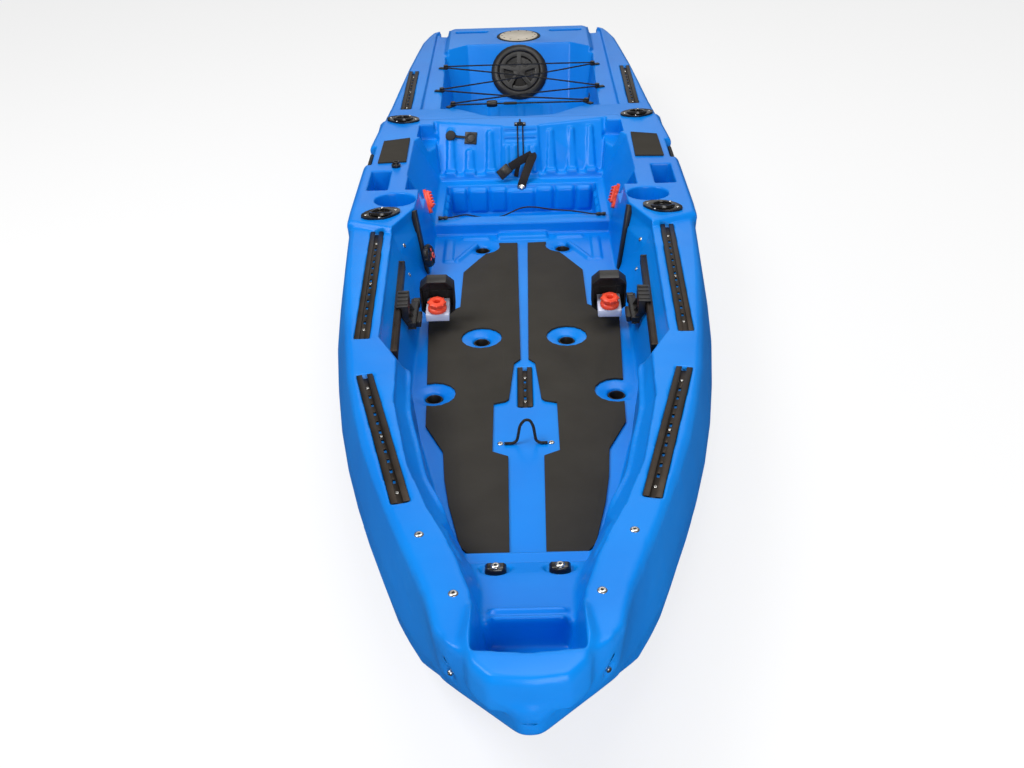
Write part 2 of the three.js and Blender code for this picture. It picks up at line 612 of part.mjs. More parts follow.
// Rod holders: a leaf-shaped flange and a leaning tube with a closed foot
const leafSharpness = 1.3;
const rodFlangeOutline = (half, width) => {
  const outline = [];
  const steps = 16;
  for (let i = 0; i < steps; i += 1) {
    const angle = (2 * Math.PI * i) / steps;
    const reach = Math.abs(Math.cos(angle)) ** leafSharpness * Math.sign(Math.cos(angle));
    outline.push([half * reach, (width / 2) * Math.sin(angle)]);
  }
  return outline;
};
for (const frame of rodFrames) {
  const lie = frame.place.clone().multiply(tilted(0, 0, frame.turn));
  const flange = plate(rodFlangeOutline(rodFlangeLength / 2, rodFlangeWidth), fitGap, rodFlangeHeight, lie);
  const above = plate(
    rodFlangeOutline(rodFlangeLength, 2 * rodFlangeWidth), rodFlangeHeight, rodTubeLength, lie);
  const tube = rodTube(frame, rodTubeRadius, -rodTubeLength, rodFlangeHeight).subtract(above);
  const bore = rodTube(frame, rodBoreRadius, rodTubeWall - rodTubeLength, cutOverrun);
  addPart(frame.name, flange.add(tube).subtract(bore), 'blackPlastic');
}

// Gear tracks: a channel with two inward lips, let into its groove
const channelOutline = () => {
  const outer = trackWidth / 2;
  const inner = outer - trackWall - trackLip;
  const slot = trackSlotWidth / 2;
  const foot = -trackDepth;
  const right = [
    [outer, foot], [outer, 0], [slot, 0], [slot, -trackLip], [inner, -trackLip], [inner, foot + trackWall],
  ];
  return [...right, ...right.map(([x, z]) => [-x, z]).reverse()];
};
for (const { name, matrix, length } of trackFrames) {
  const stand = matrix.clone().multiply(tilted(0, Math.PI / 2, 0)).multiply(tilted(0, 0, Math.PI / 2));
  addPart(name, plate(channelOutline(), -length / 2, length / 2, stand), 'track');
}

// Twist-lock hatch on the rear wall of the tank well
const tankNeckRadius = tankLidRadius - 2 * fitGap;
const tankNeckWall = 6;
const tankNeckDepth = 14;
const tankRingFoot = 5;
const tankShoulder = 3;
addPart('tank_hatch_ring', turnedSolid([
  [tankNeckRadius - tankNeckWall, -tankNeckDepth],
  [tankNeckRadius, -tankNeckDepth],
  [tankNeckRadius, fitGap],
  [tankHatchRadius, fitGap],
  [tankHatchRadius, tankRingFoot],
  [tankHatchRadius - 0.4 * tankHatchHeight, 0.7 * tankHatchHeight],
  [tankHatchRadius - tankHatchHeight, tankHatchHeight],
  [tankLidRadius + tankRingFoot, tankHatchHeight],
  [tankLidRadius + fitGap, 0.8 * tankHatchHeight],
  [tankLidRadius + fitGap, tankShoulder],
  [tankNeckRadius - tankNeckWall, tankShoulder],
  [tankNeckRadius - tankNeckWall, -tankNeckDepth],
], hatchSides, tankHatchFrame), 'blackPlastic');

const tankLidThickness = 3;
const tankLidRim = 11;
const tankHubRadius = 22;
const tankSpokeWidth = 12;
const tankSpokeHeight = 11;
const tankSpokes = 5;
const tankLidLow = tankShoulder + fitGap;
// A many-sided lid turns freely where its corners stay inside the flats of the ring round it
const turning = (ringRadius) => ringRadius * Math.cos(Math.PI / hatchSides) - fitGap;
const tankLidReach = turning(tankLidRadius + fitGap);
const spokes = Array.from({ length: tankSpokes }, (_, i) => {
  const turn = tankHatchFrame.clone().multiply(tilted(0, 0, (2 * Math.PI * i) / tankSpokes));
  const reach = tankLidReach - tankLidRim / 2;
  return block(reach, tankSpokeWidth, tankSpokeHeight - tankLidThickness,
    turn.multiply(shifted(reach / 2, 0, tankLidLow + (tankSpokeHeight + tankLidThickness) / 2 - fitGap)));
});
const lidRim = turnedSolid([
  [tankLidReach - tankLidRim, tankLidLow],
  [tankLidReach, tankLidLow],
  [tankLidReach, tankLidLow + tankSpokeHeight - tankLidThickness],
  [tankLidReach - tankLidThickness, tankLidLow + tankSpokeHeight],
  [tankLidReach - tankLidRim, tankLidLow + tankSpokeHeight],
  [tankLidReach - tankLidRim, tankLidLow],
], hatchSides, tankHatchFrame);
addPart('tank_hatch_lid', joined([
  disc(tankLidReach - tankLidRim / 2, tankLidLow, tankLidLow + tankLidThickness, hatchSides, tankHatchFrame),
  disc(tankHubRadius, tankLidLow, tankLidLow + tankSpokeHeight + tankLidThickness, 16, tankHatchFrame),
  lidRim,
  ...spokes,
]), 'blackPlastic');

// Screw-in inspection hatch in the stern block
const sternNeckDepth = 26;
const sternNeckWall = 5;
const sternNeckRadius = sternLidRadius - hullWall - 2 * fitGap;
const sternRimHeight = sternHatchHeight + 4 * fitGap;
const sternShoulder = 6;
addPart('stern_hatch_ring', turnedSolid([
  [sternNeckRadius - sternNeckWall, -sternNeckDepth],
  [sternNeckRadius, -sternNeckDepth],
  [sternNeckRadius, fitGap],
  [sternHatchRadius, fitGap],
  [sternHatchRadius, sternRimHeight - 4 * fitGap],
  [sternHatchRadius - sternNeckWall, sternRimHeight],
  [sternLidRadius + fitGap, sternRimHeight],
  [sternLidRadius + fitGap, sternShoulder],
  [sternNeckRadius - sternNeckWall, sternShoulder],
  [sternNeckRadius - sternNeckWall, -sternNeckDepth],
], hatchSides, sternHatchFrame), 'rubber');
const sternPlugDepth = 16;
const sternPlugRadius = turning(sternNeckRadius - sternNeckWall);
const sternLidReach = turning(sternLidRadius + fitGap);
addPart('stern_hatch_lid', turnedSolid([
  [0, sternShoulder - sternPlugDepth],
  [sternPlugRadius, sternShoulder - sternPlugDepth],
  [sternPlugRadius, sternShoulder + fitGap],
  [sternLidReach, sternShoulder + fitGap],
  [sternLidReach, sternRimHeight],
  [sternLidReach - sternNeckWall, sternRimHeight + sternNeckWall / 2],
  [0, sternRimHeight + sternNeckWall / 2],
], hatchSides, sternHatchFrame), 'lid');

// A cord or strap: one ring of the section at each point of its route, set square to the bend
class Route extends THREE.Curve {
  constructor(points) {
    super();
    this.points = points.map((p) => new THREE.Vector3(...p));
  }

  getPoint(t) {
    const at = t * (this.points.length - 1);
    const i = Math.min(Math.floor(at + 1e-6), this.points.length - 2);
    return this.points[i].clone().lerp(this.points[i + 1], at - i);
  }

  getPointAt(u) {
    return this.getPoint(u);
  }

  getTangentAt(u) {
    const i = Math.round(u * (this.points.length - 1));
    const before = this.points[Math.max(i - 1, 0)];
    const after = this.points[Math.min(i + 1, this.points.length - 1)];
    const here = this.points[i];
    const inward = here.clone().sub(before).normalize();
    return after.clone().sub(here).normalize().add(inward).normalize();
  }
}

function tube(points, radius, sidesCount = 8) {
  const outline = ellipseOutline(0, 0, radius, radius, sidesCount).map(([x, y]) => new THREE.Vector2(x, y));
  const sweep = { extrudePath: new Route(points), steps: points.length - 1, bevelEnabled: false };
  return solidOf(new THREE.ExtrudeGeometry(new THREE.Shape(outline), sweep));
}

// Elastic lacing over the tank well: button hooks on the deck, the cord wound round each post
const hookPostRadius = 3.5;
const hookCapRadius = 8;
const hookCapHeight = 2.5;
const hookBaseLength = 34;
const hookBaseWidth = 15;
const hookBaseHeight = 4;
const hookCordHeight = 7.5;
const hookReach = hookPostRadius + cordRadius + 2 * fitGap;
const hookShares = { fore: [0.474, 0.452], mid: [0.578, 0.5676], aft: [0.578, 0.7194] };
const hookTurns = { fore: -48, mid: 22, aft: 22 };
const hookPlaces = Object.entries(hookShares).flatMap(([zone, shares]) => sides.map((side) => {
  const [x, y] = place(shares);
  const onShelf = shares[0] > aftShelfShares[aftShelfShares.length - 1][0];
  const deck = onShelf ? aftShelfHeight : deckHeightAt(y - hookBaseLength);
  return { zone, side, x: x * side, y, z: deck + fitGap };
}));
for (const { zone, side, x, y, z } of hookPlaces) {
  const stand = shifted(x, y, z).multiply(tilted(0, 0, radians(hookTurns[zone]) * side));
  const top = hookBaseHeight + hookCordHeight;
  addPart(`bungee_hook_${zone}_${side < 0 ? 'right' : 'left'}`, joined([
    block(hookBaseLength, hookBaseWidth, hookBaseHeight,
      stand.clone().multiply(shifted((side * hookBaseLength) / 4, 0, hookBaseHeight / 2))),
    disc(hookPostRadius, hookBaseHeight / 2, top, 10, stand),
    disc(hookCapRadius, top, top + hookCapHeight, 14, stand),
  ]), 'blackPlastic');
}

// Round each post in turn, entering and leaving at the stated angles
const lacingOrder = [
  ['fore', -1, -90, -270], ['mid', 1, -90, 90], ['aft', -1, -90, -270], ['aft', 1, 90, -90],
  ['mid', -1, 90, 270], ['fore', 1, 90, -90],
];
const crossingLift = cordRadius + 3 * fitGap;
const hookAt = (zone, side) => hookPlaces.find((hook) => hook.zone === zone && hook.side === side);
const wraps = lacingOrder.map(([zone, side, from, to]) => {
  const hook = hookAt(zone, side);
  const cordZ = hook.z + hookBaseHeight + cordRadius + fitGap;
  const bends = [0, 0.25, 0.5, 0.75, 1];
  return bends.map((share) => {
    const angle = radians(from + (to - from) * share);
    return [hook.x + hookReach * Math.cos(angle), hook.y + hookReach * Math.sin(angle), cordZ];
  });
});
const midway = (from, to, lift) =>
  from.map((value, axis) => (value + to[axis]) / 2 + (axis === 2 ? lift : 0));
const lifts = [crossingLift, crossingLift, 0, -crossingLift, -crossingLift];
const lacing = [];
wraps.forEach((wrap, i) => {
  lacing.push(...wrap);
  if (lifts[i]) lacing.push(midway(wrap[wrap.length - 1], wraps[i + 1][0], lifts[i]));
});

// The cord's two ends meet inside its spring lock
const cordLock = { share: -0.1956, length: 34, radius: 11 };
const [, frontLineY, frontLineZ] = lacing[0];
const cordLockX = acrossHull(cordLock.share);
const cordEnd = (step) => [cordLockX + step * fitGap, frontLineY, frontLineZ];
addPart('tank_bungee', tube([cordEnd(-1), ...lacing, cordEnd(1)], cordRadius), 'cord');
const alongX = tilted(0, Math.PI / 2, 0);
addPart('cord_lock', turnedSolid([
  [cordRadius + fitGap, -cordLock.length / 2],
  [cordLock.radius * 0.8, -cordLock.length / 2],
  [cordLock.radius, -cordLock.length / 4],
  [cordLock.radius, cordLock.length / 4],
  [cordLock.radius * 0.8, cordLock.length / 2],
  [cordRadius + fitGap, cordLock.length / 2],
  [cordRadius + fitGap, -cordLock.length / 2],
], 14, shifted(cordLockX, frontLineY, frontLineZ).multiply(alongX)), 'blackPlastic');

// Seat area: planes of the pillar, the recessed backs and the seat well's rear wall at a height
const slopeY = (floorShare, rimShare, share) => alongHull(floorShare + (rimShare - floorShare) * share);
const seatRise = (z) => (z - seatLedgeHeight) / (platformHeight - seatLedgeHeight);
const pillarY = (z) => slopeY(seatFloorShares[3][1], seatRimShares[3][1], seatRise(z));
const pillarLean = Math.atan2(
  platformHeight - seatLedgeHeight, pillarY(platformHeight) - pillarY(seatLedgeHeight));
const wellRise = (z) => (z - seatWellFloorHeight) / (seatLedgeHeight - seatWellFloorHeight);
const wellWallY = (z) => slopeY(seatWellFloorShares[1][1], seatWellRimShares[1][1], wellRise(z));

// Elastic cord across the front of the seat well, with a moulded end fitting on each side
const seatCordRadius = 2;
const seatCordShare = 0.103;
const seatEnd = { length: 26, radius: 5, share: 0.493 };
const seatCordHeight = seatLedgeHeight + seatEnd.radius + fitGap;
const seatEndX = acrossHull(seatEnd.share);
const seatCordY = alongHull(seatCordShare);
const seatCordSway = 34;
const seatCordRise = 21;
const seatCordShares = [
  [-0.9, 0.06, 0.24], [-0.81, 0.32, 0.24], [-0.71, 0.7, 0.1], [-0.585, 0.94, -0.33], [-0.45, 1, -0.62],
  [-0.335, 0.91, -0.52], [-0.225, 0.76, -0.14], [-0.125, 0.68, 0.38], [-0.035, 0.68, 0.81], [0.055, 0.7, 1],
  [0.16, 0.73, 0.95], [0.28, 0.7, 0.76], [0.405, 0.65, 0.57], [0.54, 0.59, 0.48], [0.675, 0.47, 0.38],
  [0.8, 0.26, 0.29], [0.9, 0.06, 0.24],
];
const seatCordRoute = [
  [-seatEndX, seatCordY, seatCordHeight],
  ...seatCordShares.map(([x, y, z]) =>
    [x * seatEndX, seatCordY + y * seatCordSway, seatLedgeHeight + z * seatCordRise]),
  [seatEndX, seatCordY, seatCordHeight],
];
addPart('seat_well_cord', joined([tube(seatCordRoute, seatCordRadius), ...sides.map((side) => turnedSolid([
  [0, -seatEnd.length / 2],
  [seatEnd.radius * 0.7, -seatEnd.length / 2],
  [seatEnd.radius, -seatEnd.length / 4],
  [seatEnd.radius, seatEnd.length / 4],
  [seatEnd.radius * 0.7, seatEnd.length / 2],
  [0, seatEnd.length / 2],
], 8, shifted(side * seatEndX, seatCordY, seatCordHeight).multiply(alongX)))]), 'cord');

// Seat strap: eyelet on the pillar and the cord looped through it
const eyelet = { length: 34, width: 22, height: 4, arch: 13, wire: 3, share: 0.3247 };
const eyeletY = alongHull(eyelet.share);
const eyeletLow = platformHeight + fitGap;
const archRoute = Array.from({ length: 9 }, (_, i) => {
  const angle = (Math.PI * i) / 8;
  const reach = eyelet.width / 2 - eyelet.wire;
  const height = eyeletLow + eyelet.height / 2 + eyelet.arch * Math.sin(angle);
  return [0, eyeletY + reach * Math.cos(angle), height];
});
addPart('strap_eyelet', joined([
  block(eyelet.length, eyelet.width, eyelet.height, shifted(0, eyeletY, eyeletLow + eyelet.height / 2)),
  tube(archRoute, eyelet.wire, 8),
]), 'blackPlastic');
const strapCord = { radius: 2, spread: 8, foot: 46 };
const strapCordShares = [0, 0.35, 0.72, 1];
const strapCordTop = platformHeight - seatLedgeHeight - 10;
const strapCordLift = strapCord.radius + 3 * fitGap;
const onPillar = (x, z, lift) => [
  x, pillarY(z) - lift * Math.sin(pillarLean), z + lift * Math.cos(pillarLean),
];
const cordOverEyelet = eyeletLow + eyelet.height + strapCord.radius + fitGap;
const cordSide = (x) => [
  ...strapCordShares.map((share) => onPillar(
    x, seatLedgeHeight + strapCord.foot + (strapCordTop - strapCord.foot) * share, strapCordLift)),
  [x, eyeletY - eyelet.width / 2 - strapCord.radius - fitGap, cordOverEyelet],
  [x * 0.9, eyeletY - eyelet.width / 2 + strapCord.radius, cordOverEyelet],
  [x * 0.75, eyeletY - strapCord.radius, cordOverEyelet + fitGap],
];
const cordTop = [0, eyeletY, cordOverEyelet + 2 * fitGap];
addPart('strap_cord', tube([...cordSide(-strapCord.spread), cordTop, ...cordSide(strapCord.spread).reverse()],
  strapCord.radius), 'cord');

// A flat band that follows [x, y, z] points, its width along one fixed direction
function band(points, width, thickness, wideAlong) {
  const wide3 = new THREE.Vector3(...wideAlong).normalize();
  const path = new Route(points);
  const rings = path.points.map((p, i) => {
    const thin = path.getTangentAt(i / (points.length - 1)).cross(wide3).normalize();
    return [[1, 1], [-1, 1], [-1, -1], [1, -1]].map(([a, b]) => p.clone()
      .addScaledVector(wide3, (a * width) / 2).addScaledVector(thin, (b * thickness) / 2).toArray());
  });
  return loft(rings);
}

// The webbing itself: up from its bolt, folded over, down to the buckle, with a short tail
const strap = { width: 25, thickness: 2.2, tailWidth: 13, loop: 72 };
const strapBolt = { z: seatLedgeHeight - 12, shank: 4, washer: 12, washerHeight: 2, dome: 8, domeHeight: 6 };
const wellWallRun = wellWallY(seatLedgeHeight) - wellWallY(seatWellFloorHeight);
const strapBoltFrame = facing(
  new THREE.Vector3(0, wellWallY(strapBolt.z), strapBolt.z),
  new THREE.Vector3(0, seatWellFloorHeight - seatLedgeHeight, wellWallRun),
  new THREE.Vector3(0, 0, 1),
);
const strapLift = 2 * fitGap + strap.thickness / 2;
const strapFeet = [-strapBolt.washer, 0, strapBolt.washer + fitGap].map((rise, i) => [
  2 * Math.max(i - 1, 0), wellWallY(strapBolt.z + rise) - strapLift, strapBolt.z + rise,
]);
const fromPillarFoot = ([x, y, z]) => [
  x * strap.loop, alongHull(seatFloorShares[3][1]) + y * strap.loop, seatLedgeHeight + z * strap.loop,
];
const strapRiseShares = [
  [0.11, -0.53, 0.21], [0.25, -0.22, 0.47], [0.4, 0.05, 0.74], [0.5, 0.24, 0.93], [0.46, 0.31, 1],
];
const strapFallShares = [
  [0.47, 0.29, 0.96], [0.19, 0.17, 0.85], [-0.11, 0.04, 0.74], [-0.36, -0.07, 0.62], [-0.46, -0.11, 0.56],
];
const strapTailShares = [[-0.06, 0.03, 0.72], [-0.13, 0.01, 0.53], [-0.18, 0.01, 0.31], [-0.22, 0.01, 0.1]];
const strapRise = [...strapFeet, ...strapRiseShares.map(fromPillarFoot)];
const strapFall = strapFallShares.map(fromPillarFoot);
const strapTail = strapTailShares.map(fromPillarFoot);
const boltSeat = strapLift + strap.thickness / 2 + fitGap;
addPart('seat_strap', without(seated(joined([
  band(strapRise, strap.width, strap.thickness, [0.91, 0, -0.41]),
  band(strapFall, strap.width, strap.thickness, [-0.58, 0, 0.81]),
  band(strapTail, strap.tailWidth, strap.thickness, [1, 0, -0.2]),
])), [
  disc(strapBolt.shank + fitGap, -strapBolt.washer, strapBolt.washer, 12, strapBoltFrame),
  disc(strapBolt.washer + fitGap, boltSeat - fitGap, strapBolt.washer, 16, strapBoltFrame),
]), 'strap');
addPart('strap_bolt', turnedSolid([
  [0, fitGap],
  [strapBolt.shank, fitGap],
  [strapBolt.shank, boltSeat],
  [strapBolt.washer, boltSeat],
  [strapBolt.washer, boltSeat + strapBolt.washerHeight],
  [strapBolt.dome, boltSeat + strapBolt.washerHeight],
  [strapBolt.dome * 0.75, boltSeat + strapBolt.washerHeight + strapBolt.domeHeight * 0.7],
  [0, boltSeat + strapBolt.washerHeight + strapBolt.domeHeight],
], 16, strapBoltFrame), 'steel');
const buckle = { length: 40, width: 30, height: 10 };
const [strapBefore, strapEnd] = strapFall.slice(-2).map((point) => new THREE.Vector3(...point));
const buckleAlong = strapEnd.clone().sub(strapBefore).normalize();
const buckleFrame = facing(
  strapEnd.clone().addScaledVector(buckleAlong, buckle.length / 2 + 3 * fitGap),
  new THREE.Vector3(-0.3, -0.9, 0.5), buckleAlong);
addPart('strap_buckle', joined([
  block(buckle.width, buckle.length, buckle.height, buckleFrame),
  block(buckle.width * 0.7, buckle.length / 3, buckle.height * 1.3, buckleFrame),
]), 'blackPlastic');

// Power socket and its tethered cap on the right-hand seat back
function backFrame(side, x, z) {
  const rise = (z - seatLedgeHeight) / (platformHeight - seatLedgeHeight);
  const floorY = alongHull(backRecessFloorShares[2][1]);
  const [outerX, outerY] = place(backRecessRimShares[2]);
  const [innerX, innerY] = place(backRecessRimShares[3]);
  const rimSlope = (outerY - innerY) / (outerX - innerX);
  const rimY = innerY + rimSlope * (x - innerX);
  const lean = (rimY - floorY) / (platformHeight - seatLedgeHeight);
  const out = new THREE.Vector3(side * rimSlope * rise, -1, lean);
  const origin = new THREE.Vector3(x * side, floorY + (rimY - floorY) * rise, z);
  return facing(origin, out, new THREE.Vector3(0, 0, 1));
}

const socket = {
  width: 35, thickness: 4, sunk: 12, barrelRadius: 12, barrelHeight: 11, boreRadius: 9, share: 0.333, drop: 38,
};
const socketFrame = backFrame(-1, acrossHull(socket.share), platformHeight - socket.drop);
addPart('power_socket', seated(joined([
  block(socket.width, socket.width, 2 * socket.thickness, socketFrame),
  disc(socket.barrelRadius, -socket.sunk / 2, socket.barrelHeight, 20, socketFrame),
])).subtract(disc(socket.boreRadius, socket.thickness / 2, 2 * socket.barrelHeight, 16, socketFrame)),
'blackPlastic');
const cap = { radius: 15, height: 9, tether: 3.5, reach: 62, lift: 3 };
const capFrame = socketFrame.clone().multiply(tilted(0, 0, radians(-3)));
const capLow = socket.thickness + cap.lift;
const capCentre = capFrame.clone().multiply(shifted(-cap.reach, 0, 0));
addPart('socket_cap', seated(joined([
  disc(cap.radius, capLow, capLow + cap.height, 18, capCentre),
  block(cap.reach, 2 * cap.tether, cap.tether, capFrame.clone()
    .multiply(shifted(-cap.reach / 2, 0, capLow + cap.tether / 2))),
  disc(socket.barrelRadius + cap.tether, capLow, capLow + cap.tether, 20, capFrame),
])).subtract(disc(socket.barrelRadius + fitGap, 0, 2 * cap.height, 20, capFrame)), 'rubber');

// Side strips on the slanting wall ahead of the platforms, and the steering dial on the right one
const strip = { width: 15, proud: 5, sunk: 9, startShare: 0.09, topDrop: 5, footLift: 8 };
const wallOutShares = [0.96, -0.2, 0.2];
function wallPoint(fromShares, toShares, share, side, z) {
  const [x0, y0] = place(fromShares);
  const [x1, y1] = place(toShares);
  return new THREE.Vector3((x0 + (x1 - x0) * share) * side, y0 + (y1 - y0) * share, z);
}
const stripFrames = Object.fromEntries(sides.map((side) => {
  const top = wallPoint(
    footWellRimShares[1], footWellRimShares[2], strip.startShare, side, platformHeight - strip.topDrop);
  const foot = wallPoint(
    footWellFloorShares[1], footWellFloorShares[2], strip.startShare, side, floorHeight + strip.footLift);
  const along = top.clone().sub(foot);
  const middle = top.clone().add(foot).multiplyScalar(0.5);
  const out = new THREE.Vector3(-side * wallOutShares[0], wallOutShares[1], wallOutShares[2]);
  return [side, { frame: facing(middle, out, along), length: along.length() }];
}));
for (const side of sides) {
  const { frame, length } = stripFrames[side];
  const body = block(strip.width, length, strip.proud + strip.sunk,
    frame.clone().multiply(shifted(0, 0, (strip.proud - strip.sunk) / 2)));
  addPart(`side_strip_${side < 0 ? 'right' : 'left'}`, seated(body), 'blackPlastic');
}
const dial = { radius: 30, thickness: 15, rim: 4, hubRadius: 11, dropShare: 0.22, grip: 6, grips: 8 };
const dialFrame = stripFrames[-1].frame.clone()
  .multiply(shifted(0, -dial.dropShare * stripFrames[-1].length, strip.proud + 5 * fitGap));
const dialGrips = Array.from({ length: dial.grips }, (_, i) => {
  const turn = dialFrame.clone().multiply(tilted(0, 0, (2 * Math.PI * i) / dial.grips));
  const notch = turn.multiply(shifted(dial.radius + dial.grip / 2, 0, 0));
  return disc(dial.grip, -dial.rim, 2 * dial.thickness, 6, notch);
});
addPart('steering_dial', without(turnedSolid([
  [0, -4 * fitGap],
  [dial.hubRadius, -4 * fitGap],
  [dial.hubRadius, 0],
  [dial.radius * 0.8, 0],
  [dial.radius, dial.rim],
  [dial.radius, dial.thickness - dial.rim],
  [dial.radius - dial.rim, dial.thickness],
  [dial.hubRadius, dial.thickness],
  [dial.hubRadius * 0.8, dial.thickness + dial.rim],
  [0, dial.thickness + dial.rim],
], 24, dialFrame), dialGrips), 'blackPlastic');

// Seat lock levers on the seat's side walls
const lever = {
  length: 64, width: 20, thickness: 8, stand: 5, bossRadius: 9, share: 0.089,
  z: seatLedgeHeight + 38, lean: 17,
};
const leverY = alongHull(lever.share);
const seatWallLean = Math.atan2(
  acrossHull(seatRimShares[0][0] - seatFloorShares[0][0]), platformHeight - seatLedgeHeight);
function seatWallX(y, z) {
  const [[rimFrom, fromY], [rimTo, toY]] = seatRimShares;
  const share = (y - alongHull(fromY)) / alongHull(toY - fromY);
  const rim = acrossHull(rimFrom + (rimTo - rimFrom) * Math.min(share, 1));
  const foot = acrossHull(seatFloorShares[1][0]);
  return foot + ((rim - foot) * (z - seatLedgeHeight)) / (platformHeight - seatLedgeHeight);
}
const leverFrames = Object.fromEntries(sides.map((side) => [side, facing(
  new THREE.Vector3(side * seatWallX(leverY, lever.z), leverY, lever.z),
  new THREE.Vector3(-side * Math.cos(seatWallLean), 0, Math.sin(seatWallLean)),
  new THREE.Vector3(0, Math.sin(radians(lever.lean)), Math.cos(radians(lever.lean))),
)]));
const leverShares = [
  [-0.3, -0.12], [0.3, -0.12], [0.36, 0.1], [0.3, 0.3], [0.5, 0.42], [0.36, 0.5], [0.5, 0.62], [0.36, 0.7],
  [0.42, 0.86], [0.18, 0.97], [-0.2, 0.94], [-0.42, 0.7], [-0.5, 0.4], [-0.36, 0.1],
];
for (const side of sides) {
  const frame = leverFrames[side];
  const outline = leverShares.map(([x, y]) => [x * lever.width, y * lever.length]);
  addPart(`seat_lock_lever_${side < 0 ? 'right' : 'left'}`, joined([
    plate(outline, lever.stand, lever.stand + lever.thickness, frame),
    seated(disc(lever.bossRadius, -lever.stand, lever.stand + lever.thickness / 2, 14, frame)),
  ]), 'orange');
}

// Foot pedals: a rail along each side wall, a sliding carriage, a rocking pedal, its block and knob
const rail = { height: 24, width: 16, inset: 5, drop: 10, startShare: 0.12, endShare: 1.01 };
const carriage = { length: 80, thickness: 18, lip: 7, lipThickness: 5, armHeight: 18, armThickness: 16 };
const pedal = {
  width: 90, height: 114, depth: 50, wall: 4, corner: 20, inboard: 86.6, drop: 25, backShare: -0.206,
  pivotAhead: 28, pivotDrop: 21, pinRadius: 5, bossRadius: 12, lean: 8,
};
const pedalBackY = alongHull(pedal.backShare);
const pivotY = pedalBackY - pedal.pivotAhead;
const pedalZ = footWellKneeHeight - pedal.drop;
const pivotZ = pedalZ - pedal.pivotDrop;
const pedalBlock = { width: 59, depth: 68, height: 28, lift: 10 };
const knob = { radius: 22, waist: 16, height: 27, bore: 7, forward: 54 };
const railFrom = place(footWellKneeShares[2]);
const railTo = place(footWellKneeShares[3]);
const railMiddle = (rail.startShare + rail.endShare) / 2;
const pedalX = railFrom[0] + (railTo[0] - railFrom[0]) * railMiddle - rail.inset - pedal.inboard;
const carriageY = pivotY - carriage.length;
function railFrame(side) {
  const height = footWellKneeHeight - rail.drop;
  const point = (share) => [
    (railFrom[0] + (railTo[0] - railFrom[0]) * share - rail.inset) * side,
    railFrom[1] + (railTo[1] - railFrom[1]) * share,
    height,
  ];
  return deckFrame(point(rail.startShare), point(rail.endShare));
}
const octagon = (width, height, corner) => [
  [width / 2 - corner, -height / 2], [width / 2, corner - height / 2], [width / 2, height / 2 - corner],
  [width / 2 - corner, height / 2], [corner - width / 2, height / 2], [-width / 2, height / 2 - corner],
  [-width / 2, corner - height / 2], [corner - width / 2, -height / 2],
];
